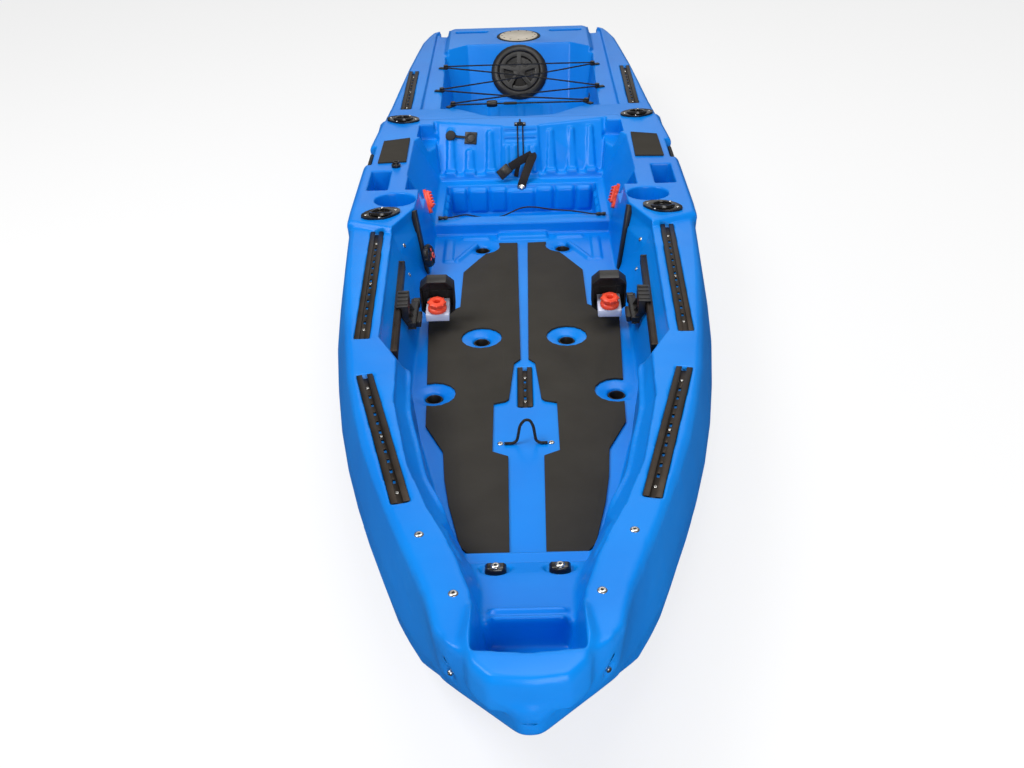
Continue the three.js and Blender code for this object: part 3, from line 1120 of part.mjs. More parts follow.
for (const side of sides) {
  const hand = side < 0 ? 'right' : 'left';
  const { matrix, length } = railFrame(side);
  const centre = new THREE.Vector3().setFromMatrixPosition(matrix);
  const inward = new THREE.Vector3(-side, 0, 0).transformDirection(new THREE.Matrix4());
  const alongY = new THREE.Vector3().setFromMatrixColumn(matrix, 0);
  const inSign = Math.sign(new THREE.Vector3().setFromMatrixColumn(matrix, 1).dot(inward));
  addPart(`pedal_rail_${hand}`, seated(block(length, rail.width, rail.height, matrix)), 'track');

  const slide = (carriageY - centre.y) / alongY.y;
  const rideFrame = matrix.clone().multiply(shifted(slide, 0, 0));
  const rideX = Math.abs(new THREE.Vector3().setFromMatrixPosition(rideFrame).x);
  const armTo = pedalX + pedal.width / 2 + fitGap;
  const face = rail.width / 2 + fitGap;
  const low = pivotZ - carriage.armHeight / 2 - (footWellKneeHeight - rail.drop);
  const top = rail.height / 2 + fitGap;
  const section = [
    [face, -rail.height / 2],
    [face, top],
    [rail.width / 2 - carriage.lip, top],
    [rail.width / 2 - carriage.lip, top + carriage.lipThickness],
    [face + carriage.thickness, top + carriage.lipThickness],
    [face + carriage.thickness, -rail.height / 3],
    [rideX - armTo, low + carriage.armHeight],
    [rideX - armTo, low],
    [rideX - armTo - carriage.armThickness, low],
  ];
  const alongRail = rideFrame.clone().multiply(tilted(0, Math.PI / 2, 0)).multiply(tilted(0, 0, Math.PI / 2));
  const armMiddle = shifted(side * (armTo + carriage.armThickness / 2), (carriageY + pivotY) / 2, pivotZ);
  const alongPin = tilted(0, -side * (Math.PI / 2), 0);
  const pivot = shifted(side * armTo, pivotY, pivotZ).multiply(alongPin);
  const armCut = (share) => block(carriage.armThickness * 0.42, carriage.length * 0.2, 2 * carriage.armHeight,
    armMiddle.clone().multiply(shifted(0, share * carriage.length, 0)));
  addPart(`pedal_carriage_${hand}`, without(joined([
    plate(section.map(([u, z]) => [inSign * u, z]), -carriage.length / 2, carriage.length / 2, alongRail),
    block(carriage.armThickness, carriage.length, carriage.armHeight, armMiddle),
    disc(pedal.bossRadius, -carriage.armThickness, 0, 16, pivot),
    disc(pedal.pinRadius, -carriage.armThickness, 2 * pedal.wall, 12, pivot),
  ]), [armCut(0.1), armCut(-0.2)]), 'blackPlastic');

  const stand = shifted(side * pedalX, pedalBackY, pedalZ)
    .multiply(tilted(radians(pedal.lean), 0, 0)).multiply(tilted(Math.PI / 2, 0, 0));
  const cup = plate(octagon(pedal.width, pedal.height, pedal.corner), 0, pedal.depth, stand)
    .subtract(plate(octagon(pedal.width - 2 * pedal.wall, pedal.height - 2 * pedal.wall, pedal.corner),
      pedal.wall, 2 * pedal.depth, stand));
  const pinHole = disc(pedal.pinRadius + fitGap, -pedal.wall, 3 * pedal.wall, 12, pivot);
  addPart(`foot_pedal_${hand}`, cup.subtract(pinHole), 'blackPlastic');

  const blockLow = pedal.wall + pedalBlock.lift - pedal.height / 2;
  const blockFrame = stand.clone().multiply(shifted(0, blockLow + pedalBlock.height / 2,
    pedal.wall + fitGap + pedalBlock.depth / 2));
  const blockSolid = block(pedalBlock.width, pedalBlock.height, pedalBlock.depth, blockFrame);
  addPart(`pedal_block_${hand}`, blockSolid, 'pale');

  const knobFrame = stand.clone().multiply(shifted(0, blockLow + pedalBlock.height + fitGap, knob.forward))
    .multiply(tilted(-Math.PI / 2, 0, 0));
  addPart(`pedal_knob_${hand}`, turnedSolid([
    [knob.bore, knob.height / 3],
    [knob.bore / 2, knob.height / 3],
    [knob.bore / 2, 0],
    [knob.radius, 0],
    [knob.radius, knob.height * 0.38],
    [knob.waist, knob.height * 0.42],
    [knob.waist, knob.height * 0.56],
    [knob.radius * 0.92, knob.height * 0.6],
    [knob.radius * 0.92, knob.height * 0.92],
    [knob.radius * 0.8, knob.height],
    [knob.bore, knob.height],
    [knob.bore, knob.height / 3],
  ], 16, knobFrame), 'orange');
}

// Tie-down blocks in the round recesses at the foot of the bow ramp
const tieDown = { width: 36, depth: 24, height: 14, draft: 4 };
const tieOutline = (inset) => [
  [tieDown.width / 2 - inset, tieDown.depth / 2 - inset], [tieDown.width / 2 - inset, -tieDown.depth / 4],
  [tieDown.width / 4, -tieDown.depth / 2 + inset],
];
for (const side of sides) {
  const [x, y] = place(tieDownPlaceShares);
  const at = (outline) => mirrored(outline).map(([dx, dy]) => [x * side + dx, y + dy]);
  const low = bowRampLowHeight + fitGap;
  addPart(`bow_tie_down_${side < 0 ? 'right' : 'left'}`, tower([
    [at(tieOutline(0)), low],
    [at(tieOutline(0)), low + tieDown.height / 2],
    [at(tieOutline(tieDown.draft)), low + tieDown.height],
  ]), 'blackPlastic');
}

// Swing-out carrying handles in the recesses of the platform sides
const sideHandle = { radius: 6, inset: 11, low: 14, rise: 28, corner: 8, end: 9 };
for (const side of sides) {
  const x = acrossHull(sideHandleRecessShares[0][0]) + sideHandle.inset;
  const z = platformHeight - sideHandleRecessDepth + sideHandle.low;
  const from = alongHull(sideHandleRecessShares[0][1]) + fitGap;
  const to = alongHull(sideHandleRecessShares[2][1]) - fitGap;
  const { end, corner, rise } = sideHandle;
  const bend = (y, inward) => [
    [x * side, y, z],
    [x * side, y + inward * end, z],
    [(x + fitGap) * side, y + inward * (end + corner), z + rise - corner],
    [(x + fitGap) * side, y + inward * (end + 2 * corner), z + rise],
  ];
  addPart(`side_handle_${side < 0 ? 'right' : 'left'}`,
    tube([...bend(from, 1), ...bend(to, -1).reverse()], sideHandle.radius), 'rubber');
}

// Looped strap on the floor, and the cable gland on the platform
const floorStrapRadius = 3;
const floorStrapShare = -0.5153;
const floorStrapY = alongHull(floorStrapShare);
const floorStrapBase = floorHeight + floorStrapRadius + 2 * fitGap;
const floorStrapHalf = 44;
const floorStrapLean = 18;
const floorStrapPeak = 43;
const floorStrapShares = [
  [-1, 0, 0], [-0.59, 0.06, 0], [-0.43, 0.22, 0.09], [-0.34, 0.44, 0.42], [-0.25, 0.78, 0.77], [-0.045, 1, 1],
  [0.18, 1, 1], [0.34, 0.72, 0.77], [0.41, 0.44, 0.42], [0.48, 0.22, 0.09], [0.64, 0.06, 0], [1, 0, 0],
];
const floorStrapRoute = floorStrapShares.map(([x, y, z]) =>
  [x * floorStrapHalf, floorStrapY + y * floorStrapLean, floorStrapBase + z * floorStrapPeak]);
addPart('floor_strap', tube(floorStrapRoute, floorStrapRadius), 'strap');
const gland = { shares: [-0.773, 0.137], radius: 13, nut: 8, top: 9, height: 16, bore: 6 };
addPart('cable_gland', turnedSolid([
  [gland.bore, gland.nut],
  [gland.bore * 0.5, gland.nut],
  [gland.bore * 0.5, fitGap],
  [gland.radius, fitGap],
  [gland.radius, gland.nut],
  [gland.top, gland.nut],
  [gland.top, gland.height],
  [gland.bore, gland.height],
  [gland.bore, gland.nut],
], 16, shifted(...place(gland.shares), platformHeight)), 'blackPlastic');

export default kayak;
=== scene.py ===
import math

import bpy
from mathutils import Matrix, Vector


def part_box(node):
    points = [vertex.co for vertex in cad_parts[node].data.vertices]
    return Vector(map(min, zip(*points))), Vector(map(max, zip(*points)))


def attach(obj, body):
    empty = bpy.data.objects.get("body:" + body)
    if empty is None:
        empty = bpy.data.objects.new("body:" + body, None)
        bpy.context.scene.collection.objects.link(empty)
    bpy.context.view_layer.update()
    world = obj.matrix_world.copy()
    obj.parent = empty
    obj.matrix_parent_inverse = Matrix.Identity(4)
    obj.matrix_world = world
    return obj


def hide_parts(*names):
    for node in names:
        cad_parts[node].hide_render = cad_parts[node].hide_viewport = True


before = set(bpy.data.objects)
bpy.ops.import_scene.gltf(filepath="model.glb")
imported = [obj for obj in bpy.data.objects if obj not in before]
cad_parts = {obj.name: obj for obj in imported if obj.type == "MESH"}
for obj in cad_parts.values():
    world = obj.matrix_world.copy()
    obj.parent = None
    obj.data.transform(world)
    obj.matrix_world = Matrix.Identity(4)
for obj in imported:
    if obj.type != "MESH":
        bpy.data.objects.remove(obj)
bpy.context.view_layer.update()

SIDES = {"right": -1, "left": 1}
BOTH = (-1, 1)

# Hull: one rotomoulded polyethylene shell. The mould leaves soft edges, a faint grain and slightly uneven
# gloss, and the seat backs, wells and floor carry pressed ribs that stiffen it.
HULL_BLUE = "0080DE"
HULL_BLUE_DEEP = "0073D2"
HULL_SCUFF = "3E93EC"
HULL_VOXEL = 0.0033
HULL_FACES = 194000
HULL_EASING, BOW_EASING, FLANK_EASING = ((5, 14, 40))
BOW_START = -1.375


def linear(code):
    """An sRGB hex colour as linear light."""
    shares = [int(code[i:i + 2], 16) / 255 for i in (0, 2, 4)]
    return [c / 12.92 if c <= 0.04045 else ((c + 0.055) / 1.055) ** 2.4 for c in shares] + [1]


def add_node(material, kind, inputs=None, **settings):
    """One shader node: its settings, its plain values and its links from other nodes' sockets."""
    tree = material.node_tree
    node = tree.nodes.new("ShaderNode" + kind)
    for name, value in settings.items():
        setattr(node, name, value)
    for name, value in (inputs or {}).items():
        if isinstance(value, bpy.types.NodeSocket):
            tree.links.new(value, node.inputs[name])
        else:
            node.inputs[name].default_value = value
    return node


def start_material(name, roughness, metallic=0.0, ior=1.5, specular=0.5):
    """A bare principled material, with its object coordinates."""
    material = bpy.data.materials.new(name)
    material.use_nodes = True
    shader = material.node_tree.nodes["Principled BSDF"]
    plain = {"Roughness": roughness, "Metallic": metallic, "IOR": ior, "Specular IOR Level": specular}
    for name, value in plain.items():
        shader.inputs[name].default_value = value
    return material, shader, add_node(material, "TexCoord")


def mottle(material, shader, place, colours, size, grain, depth, gloss=None):
    """Colour that drifts between two stops over patches of one size, and a grain of another, in metres."""
    tree = material.node_tree
    patches = add_node(material, "TexNoise", {
        "Vector": place.outputs["Object"], "Scale": 1 / size, "Detail": 4.0, "Roughness": 0.55})
    ramp = add_node(material, "ValToRGB", {"Fac": patches.outputs["Fac"]})
    for element, (at, code) in zip(ramp.color_ramp.elements, colours):
        element.position = at
        element.color = linear(code)
    tree.links.new(ramp.outputs["Color"], shader.inputs["Base Color"])
    grains = add_node(material, "TexNoise", {
        "Vector": place.outputs["Object"], "Scale": 1 / grain, "Detail": 3.0, "Roughness": 0.6})
    bump = add_node(material, "Bump", {"Height": grains.outputs["Fac"], "Strength": 0.35, "Distance": depth})
    tree.links.new(bump.outputs["Normal"], shader.inputs["Normal"])
    if gloss:
        spread = add_node(material, "MapRange", {
            "Value": patches.outputs["Fac"], "To Min": gloss[0], "To Max": gloss[1]})
        tree.links.new(spread.outputs["Result"], shader.inputs["Roughness"])
    return ramp


def speckled(name, roughness, colours, size, grain, depth, gloss=None, stops=(0.3, 0.7), **sheen):
    """A whole material: its drift between two colours, its grain and its spread of gloss."""
    material, shader, place = start_material(name, roughness, **sheen)
    mottle(material, shader, place, [*zip(stops, colours)], size, grain, depth, gloss)
    return material


def only(*pieces):
    """Selects these pieces alone and makes the first one active."""
    bpy.ops.object.select_all(action="DESELECT")
    for piece in pieces:
        piece.select_set(True)
    bpy.context.view_layer.objects.active = pieces[0]


def settle(piece, name, material):
    """Names a piece, gives it its one material and puts its place into its mesh."""
    piece.name = piece.data.name = name
    piece.data.materials.clear()
    piece.data.materials.append(material)
    only(piece)
    bpy.ops.object.transform_apply(location=True, rotation=True, scale=True)
    return piece


def placed(name, data):
    """A new object of this name and data, in the scene."""
    piece = bpy.data.objects.new(name, data)
    bpy.context.collection.objects.link(piece)
    return piece


def meshed(name, corners, edges, faces):
    """A new piece from corners and the edges or faces between them."""
    mesh = bpy.data.meshes.new(name)
    mesh.from_pydata(corners, edges, faces)
    return placed(name, mesh)


def worked(piece, **tools):
    """Runs mesh tools in turn, each on the whole of a piece with its own settings."""
    only(piece)
    bpy.ops.object.mode_set(mode="EDIT")
    for tool, settings in tools.items():
        bpy.ops.mesh.select_all(action="SELECT")
        getattr(bpy.ops.mesh, tool)(**settings)
    bpy.ops.object.mode_set(mode="OBJECT")
    return piece


def copied(node):
    """A CAD node's mesh as a piece of its own, its loose triangles joined up."""
    piece = placed(node + "_copy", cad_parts[node].data.copy())
    return worked(piece, remove_doubles={"threshold": 0.00002})


def modified(piece, kind, **settings):
    """Adds a modifier with its settings and applies it."""
    only(piece)
    modifier = piece.modifiers.new(kind.lower(), kind)
    for name, value in settings.items():
        setattr(modifier, name, value)
    bpy.ops.object.modifier_apply(modifier=modifier.name)
    return piece


def bevelled(piece, width, degrees):
    """Rounds the edges at which faces turn by more than this angle."""
    return modified(
        piece, "BEVEL", width=width, segments=2, limit_method="ANGLE", angle_limit=math.radians(degrees))


def bar(size, place, edge):
    """A block with rounded edges, set into its place, in metres."""
    bpy.ops.mesh.primitive_cube_add(size=1)
    piece = bpy.context.object
    piece.data.transform(Matrix.Diagonal((*size, 1)))
    worked(piece, bevel={"offset": edge, "segments": 3, "affect": "EDGES"})
    piece.data.transform(place)
    return piece


def spun(profile, steps, place):
    """A turned piece: the profile of (radius, height) points spun about its own Z, then set in place."""
    edges = [(i, i + 1) for i in range(len(profile) - 1)]
    piece = meshed("spun", [(r, 0, z) for r, z in profile], edges, [])
    worked(piece, spin={"steps": steps, "angle": 2 * math.pi, "center": (0, 0, 0), "axis": (0, 0, 1)},
           remove_doubles={"threshold": 0.00001}, normals_make_consistent={"inside": False})
    piece.data.transform(place)
    return piece


def wall_place(origin, out, up=(0, 0, 1)):
    """A place on a wall: Z stands out of it and Y runs as near to up as it can."""
    normal = Vector(out).normalized()
    across = Vector(up).cross(normal).normalized()
    upward = normal.cross(across)
    return Matrix.Translation(origin) @ Matrix((across, upward, normal)).transposed().to_4x4()


def moved(x, y, z):
    """A shift by these metres."""
    return Matrix.Translation((x, y, z))


def turned(degrees, axis="Z"):
    """A turn about one axis."""
    return Matrix.Rotation(math.radians(degrees), 4, axis)


def joined(pieces):
    """Several pieces as one."""
    only(*pieces)
    if len(pieces) > 1:
        bpy.ops.object.join()
    return bpy.context.object


def carved(piece, cuts):
    """Takes the joined cutting pieces out of a piece and removes them."""
    cutter = joined(cuts)
    modified(piece, "BOOLEAN", object=cutter, operation="DIFFERENCE", solver="EXACT")
    bpy.data.objects.remove(cutter)
    return piece


ROPE_STEPS = 6


def rope(name, points, radius):
    """A round cord through route points in metres: a smooth curve of one open spline."""
    course = [Vector(p) for p in points]
    ends = [2 * course[0] - course[1], *course, 2 * course[-1] - course[-2]]
    line = bpy.data.curves.new(name, "CURVE")
    line.dimensions = "3D"
    line.bevel_depth = radius
    line.bevel_resolution = 4
    line.use_fill_caps = True
    places = []
    for a, b, c, d in zip(ends, ends[1:], ends[2:], ends[3:]):
        knots = [0.0]
        for p, q in ((a, b), (b, c), (c, d)):
            knots.append(knots[-1] + max((q - p).length, 1e-6) ** 0.5)
        for step in range(ROPE_STEPS):
            t = knots[1] + (knots[2] - knots[1]) * step / ROPE_STEPS
            ab = a.lerp(b, (t - knots[0]) / (knots[1] - knots[0]))
            bc = b.lerp(c, (t - knots[1]) / (knots[2] - knots[1]))
            cd = c.lerp(d, (t - knots[2]) / (knots[3] - knots[2]))
            abc = ab.lerp(bc, (t - knots[0]) / (knots[2] - knots[0]))
            bcd = bc.lerp(cd, (t - knots[1]) / (knots[3] - knots[1]))
            places.append(abc.lerp(bcd, (t - knots[1]) / (knots[2] - knots[1])))
    places.append(course[-1])
    spline = line.splines.new("POLY")
    spline.points.add(len(places) - 1)
    for point, spot in zip(spline.points, places):
        point.co = (*spot, 1)
    length = sum((q - p).length for p, q in zip(places, places[1:]))
    return placed(name, line), length, places


hdpe, shader, place = start_material("rotomoulded polyethylene", 0.3, ior=1.54, specular=0.2)
drift = [(0.3, HULL_BLUE_DEEP), (0.62, HULL_BLUE)]
ramp = mottle(hdpe, shader, place, drift, 0.35, 0.0016, 0.0003, (0.26, 0.36))
# Paler scuffs where the keel and bilges drag over sand
height = add_node(hdpe, "SeparateXYZ", {"Vector": place.outputs["Object"]})
low = add_node(hdpe, "MapRange", {
    "Value": height.outputs["Z"], "From Min": 0.0, "From Max": 0.05, "To Min": 0.55, "To Max": 0.0})
drag = add_node(hdpe, "Mapping", {"Vector": place.outputs["Object"], "Scale": (1.0, 0.08, 1.0)})
scuffs = add_node(hdpe, "TexNoise", {
    "Vector": drag.outputs["Vector"], "Scale": 120.0, "Detail": 5.0, "Roughness": 0.7})
marks = add_node(hdpe, "MapRange", {"Value": scuffs.outputs["Fac"], "From Min": 0.52, "From Max": 0.7})
amount = add_node(hdpe, "Math", {0: low.outputs["Result"], 1: marks.outputs["Result"]}, operation="MULTIPLY")
worn = add_node(hdpe, "Mix", {
    "Factor": amount.outputs["Value"], "A": ramp.outputs["Color"], "B": linear(HULL_SCUFF),
}, data_type="RGBA")
hdpe.node_tree.links.new(worn.outputs["Result"], shader.inputs["Base Color"])

LEDGE = 0.15
PLATFORM = 0.288
ROD_PLACES = {"fore": (0.3582, -0.0952, PLATFORM), "aft": (0.36, 0.6222, PLATFORM)}
ROD_LEAN = turned(-15, "X")
PILLAR_FOOT = 0.4624
PILLAR_TOP = 0.5406
PILLAR_FACE = (0, -138, 78.2)
TANK_HATCH = wall_place((0, 1.3957, 0.195), (0, -0.809286, 0.587415))
STERN_HATCH = moved(0, 1.56298, 0.272)


def back_wall(x, z):
    """Where the recessed seat back stands at a place across and a height, and its outward way."""
    rise = (z - LEDGE) / (PLATFORM - LEDGE)
    rim = 0.5508 + 0.2618 * (abs(x) - 0.054)
    spot = Vector((x, 0.476 + (rim - 0.476) * rise, z))
    out = Vector((math.copysign(0.2618 * rise, x), -1, (rim - 0.476) / (PLATFORM - LEDGE)))
    return spot, out.normalized()


def grid_slab(rows, thickness):
    """A slab under a grid of points: one smooth surface with a closed back."""
    wide = len(rows[0])
    faces = [(r * wide + c, r * wide + c + 1, (r + 1) * wide + c + 1, (r + 1) * wide + c)
             for r in range(len(rows) - 1) for c in range(wide - 1)]
    piece = meshed("grid_slab", [p for row in rows for p in row], [], faces)
    modified(piece, "SOLIDIFY", thickness=thickness, offset=0)
    return worked(piece, normals_make_consistent={"inside": False})


def pillar_y(z):
    """How far aft the leaning pillar between the seat backs stands at a height."""
    return PILLAR_FOOT + (PILLAR_TOP - PILLAR_FOOT) * (z - LEDGE) / (PLATFORM - LEDGE)


EYE_RECESSES = [wall_place((side * 0.1155, -1.6, 0.2297), (side * 0.68, -0.72, 0.02)) for side in BOTH]
SOCKET = wall_place(*back_wall(-0.14985, 0.25))
CAP_TURN = turned(-3)
hull = copied("hull")
cuts = []
backing = []
for z in (0.254, 0.275):
    cuts.append(bar((0.1, 0.012, 0.009), moved(0, pillar_y(z), z), 0.002))
    backing.append(bar((0.112, 0.012, 0.018), moved(0, pillar_y(z) + 0.0105, z), 0.002))
for recess in EYE_RECESSES:
    cuts.append(spun([
        (0, -0.012), (0.0085, -0.012), (0.0115, -0.009), (0.0115, 0.03), (0, 0.03)], 20, recess))
    backing.append(spun([
        (0, -0.02), (0.016, -0.02), (0.016, -0.004), (0.0108, -0.004), (0.0108, -0.0125), (0, -0.0125),
    ], 20, recess))
# On the right the field of the seat back is eased down to the same smooth sweep as on the left
eased = []
for r in range(11):
    spots = [back_wall(-0.064 - 0.0178 * c, 0.16 + 0.0118 * r) for c in range(11)]
    eased.append([spot + out * 0.0145 for spot, out in spots])
cuts.append(grid_slab(eased, 0.026))
hull = carved(hull, cuts)
# The stem is solid behind its skin
stem = wall_place((0, -1.6265, 0.163), (0, -0.75, -0.66), (0, -0.66, 0.75))
backing.append(bar((0.024, 0.13, 0.03), stem, 0.003))
backing.append(bar((0.03, 0.02, 0.044), moved(0, -1.673, 0.226), 0.003))
# A raised field under the power socket and its cap
backing.append(bar((0.136, 0.066, 0.022), SOCKET @ CAP_TURN @ moved(-0.03, 0, -0.0108), 0.006))

# Closed cups round the rod tubes and discs under the hatches, so that the shell has one outer skin
parts = [hull, *backing]
for side in BOTH:
    for x, y, z in ROD_PLACES.values():
        parts.append(spun([
            (0, -0.214), (0.0375, -0.214), (0.0375, -0.012), (0.0285, -0.012), (0.0285, -0.205), (0, -0.205),
        ], 24, moved(side * x, y, z) @ ROD_LEAN))
for radius, top, hatch in ((0.082, -0.012, TANK_HATCH), (0.074, -0.014, STERN_HATCH)):
    low = top - 0.012
    parts.append(spun([(0, low), (radius, low), (radius, top), (0, top)], 32, hatch))

# Pressed ribs of the seat backs on one smooth field, with the foot band that ties them, and pillar flutes
RIB_DEPTH = 0.016
RIB_HEIGHTS = (0.166, 0.192, 0.218, 0.244, 0.268)
ALL_HEIGHTS = len(RIB_HEIGHTS)
for side in BOTH:
    parts.append(grid_slab([
        [back_wall(side * (0.06 + 0.019 * c), 0.152 + 0.0133 * r)[0] for c in range(11)]
        for r in range(11)], 0.008))
    # The rib under the power socket is a short one
    for x, count in ((0.091, ALL_HEIGHTS), (0.154, ALL_HEIGHTS if side > 0 else 3), (0.212, ALL_HEIGHTS)):
        marks = [back_wall(side * x, z) for z in RIB_HEIGHTS[:count]]
        for i, ((foot, out), (head, _)) in enumerate(zip(marks, marks[1:])):
            rib = wall_place((foot + head) / 2, out, head - foot) @ moved(0, 0, 0.0045)
            rib_size = (0.026 - 0.0028 * i, (head - foot).length + 0.008, RIB_DEPTH)
            parts.append(bar(rib_size, rib, 0.0055))
        parts.append(bar((0.034, 0.026, 0.02), moved(side * x, 0.4745, 0.166), 0.004))
    parts.append(bar((0.19, 0.024, 0.018), moved(side * 0.15, 0.472, 0.156), 0.003))
    for x in (0.02, 0.041):
        lean = wall_place((side * x, PILLAR_FOOT + 0.03, 0.203), PILLAR_FACE)
        parts.append(bar((0.016, 0.085, 0.014), lean, 0.0055))

# Panels of the seat well: rounded fields that stand out of its back and sides, with grooves between
for side in BOTH:
    for near, far in ((0.044, 0.0945), (0.1015, 0.158), (0.165, 0.209)):
        parts.append(bar((far - near, 0.02, 0.074), moved(side * (near + far) / 2, 0.4155, 0.104), 0.009))
    for y in (0.25, 0.305, 0.36):
        parts.append(bar((0.016, 0.045, 0.07), moved(side * 0.2195, y, 0.105), 0.0065))
parts.append(bar((0.08, 0.02, 0.074), moved(0, 0.4155, 0.1), 0.009))

# Mouldings of the cockpit floor by the seat, the strips in the tank well and the steps of the bow ramp
for side in BOTH:
    for x, y, length, width, turn in (
            (0.2, 0.04, 0.14, 0.024, 0), (0.152, 0.025, 0.12, 0.014, 27), (0.13, 0.118, 0.075, 0.02, 90)):
        parts.append(bar((width, length, 0.014), moved(side * x, y, 0.114) @ turned(turn * side), 0.004))
    parts.append(bar((0.038, 0.56, 0.012), moved(side * 0.094, 1.0, 0.1045), 0.005))
parts.append(bar((0.03, 0.56, 0.012), moved(0, 1.0, 0.1045), 0.005))
parts.append(bar((0.14, 0.034, 0.022), moved(0, 0.121, 0.114), 0.006))
for y, z in ((-1.489, 0.243), (-1.511, 0.247)):
    parts.append(bar((0.12, 0.013, 0.014), moved(0, y, z), 0.006))


def beaded(points, radius):
    """A round bead through points, as a mesh."""
    bead, _, _ = rope("bead", points, radius)
    only(bead)
    bpy.ops.object.convert(target="MESH")
    return bpy.context.object


# A rolled bead along the knee of the foot well
BEAD = [
    (0.252, -0.752, 0.222), (0.24, -0.77, 0.227), (0.233, -0.85, 0.2285), (0.2255, -0.925, 0.2285),
    (0.203, -1.03, 0.2285), (0.18, -1.136, 0.2285), (0.15, -1.212, 0.2275), (0.137, -1.25, 0.216),
]
for side in BOTH:
    parts.append(beaded([(side * x, y, z) for x, y, z in BEAD], 0.006))

# A raised edge round the flat cap of the nose, sunk a little into its skin
CAP_EDGE_SUNK = 0.0007
cap_edge = []
for share in (-1, -0.7, -0.35, 0, 0.35, 0.7, 1):
    ahead = (0.057 * share, -2, 0.2575 + 0.0113 * share ** 2 + 0.009 * share ** 4)
    _, skin, _, _ = hull.ray_cast(ahead, (0, 1, 0))
    cap_edge.append(skin + Vector((0, CAP_EDGE_SUNK, 0)))
parts.append(beaded(cap_edge, 0.0045))

hull = joined(parts)
modified(hull, "REMESH", mode="VOXEL", voxel_size=HULL_VOXEL, use_smooth_shade=True)
modified(hull, "SMOOTH", factor=0.5, iterations=HULL_EASING)
bow = hull.vertex_groups.new(name="bow")
bow.add([v.index for v in hull.data.vertices if v.co.y < BOW_START], 1.0, "REPLACE")
modified(hull, "SMOOTH", factor=0.5, iterations=BOW_EASING, vertex_group="bow")
# The flanks and the nose were moulded in long sweeps, so they are eased further than the deck
flank = hull.vertex_groups.new(name="flank")
outer = [v.index for v in hull.data.vertices
         if (abs(v.normal.x) > 0.3 and v.normal.x * v.co.x > 0 and v.co.z < 0.268 and abs(v.co.x) > 0.3)
         or (v.co.y < -1.44 and (v.normal.y < -0.15 or v.normal.x * v.co.x > 0.01) and v.normal.z < 0.8)]
flank.add(outer, 1.0, "REPLACE")
modified(hull, "SMOOTH", factor=0.5, iterations=FLANK_EASING, vertex_group="flank")
share = HULL_FACES / (2 * len(hull.data.polygons))
modified(hull, "DECIMATE", decimate_type="COLLAPSE", ratio=min(1.0, share))
settle(hull, "hull_shell", hdpe)
bpy.ops.object.shade_smooth()
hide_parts("hull")
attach(hull, "hull")


def on_deck(x, y):
    """The place on the hull straight below a point, standing square to the surface."""
    _, spot, out, _ = hull.ray_cast((x, y, 1), (0, 0, -1))
    return wall_place(spot, out, (0, 1, 0))


def on_wall(start, way):
    """The place where a line from a point meets the hull, standing square to the surface."""
    _, spot, out, _ = hull.ray_cast(start, way)
    return wall_place(spot, out)


# Drain cups: black moulded plugs that stop the drain holes of the floor, pushed in from above. Each is a
# dished cup with a cross grip at its bottom.
SCUPPERS = [(0.10935, 0.0578), (0.10035, -0.4437), (0.1989, -0.6851)]
CUP_TOP = 0.1055
CUP_RADIUS = 0.0194


def fitted(piece, name, material, body="hull", node=None):
    """Finishes a piece: smooth faces with kept edges, its body and the node that it replaces."""
    settle(piece, name, material)
    bpy.ops.object.shade_smooth_by_angle(angle=math.radians(35))
    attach(piece, body)
    if node:
        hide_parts(node)
    return piece


# Matt black nylon with short glass fibres: a dry surface, a little lighter where handling has polished it
nylon = speckled(
    "glass filled nylon", 0.42, ("161412", "201D1A"), 0.03, 0.0009, 0.0002, (0.34, 0.5), specular=0.45)

cups = []
for x, y in SCUPPERS:
    for side in BOTH:
        spot = moved(side * x, y, CUP_TOP)
        cups.append(spun([
            (0, -0.034), (0.0155, -0.034), (CUP_RADIUS, -0.002), (CUP_RADIUS - 0.0015, 0), (0.0165, 0),
            (0.0155, -0.003), (0.0125, -0.029), (0, -0.029),
        ], 28, spot))
        for turn in (45, 135):
            cups.append(bar((0.0265, 0.004, 0.012), spot @ turned(turn) @ moved(0, 0, -0.024), 0.001))
fitted(joined(cups), "drain_cups", nylon)

# Deck pads: closed cell foam sheets, cut with a knife and stuck to the floor and the side platforms. The
# skin has a fine brushed grain and the cut edges are slightly rounded.
foam = speckled(
    "closed cell foam sheet", 0.88, ("34312C", "3C3934"), 0.12, 0.0012, 0.0005, (0.84, 0.95),
    stops=(0.25, 0.75), specular=0.12)


def edged(node, material, width, body="hull", extra=()):
    """A CAD node's own form with its edges rounded off, and any further pieces moulded to it."""
    piece = worked(copied(node), dissolve_limited={"angle_limit": math.radians(1)})
    bevelled(piece, width, 28)
    if extra:
        piece = joined([piece, *extra])
    return fitted(piece, node + "_finished", material, body, node)


for hand in SIDES:
    for node in ("deck_pad_", "armrest_pad_"):
        edged(node + hand, foam, 0.0011)

# Rod holders: black nylon mouldings let into the platforms, each with a leaf shaped flange, a low collar
# round its leaning tube and stainless screws at the tips.
ROD_TURNS = {"fore": -22, "aft": 12}
FLANGE_TOP = 0.006
glossy = speckled(
    "polished black nylon", 0.22, ("141211", "1D1A18"), 0.03, 0.002, 0.00015, (0.16, 0.3), specular=0.5)
steel = speckled(
    "stainless steel screw", 0.24, ("B9B6B1", "D2D0CB"), 0.004, 0.0006, 0.00005, (0.18, 0.34), metallic=1.0)
# Rough black for the linings of the rod holder bores, and painted shade for the dark blocks in the screw
# drive recesses and the spanner notches of the stern lid.
bore_black_and_recess_shade = speckled("black bore lining and painted recess shade", 0.7, ("131211", "1D1B1A"), 0.004, 0.0006, 0.00005)


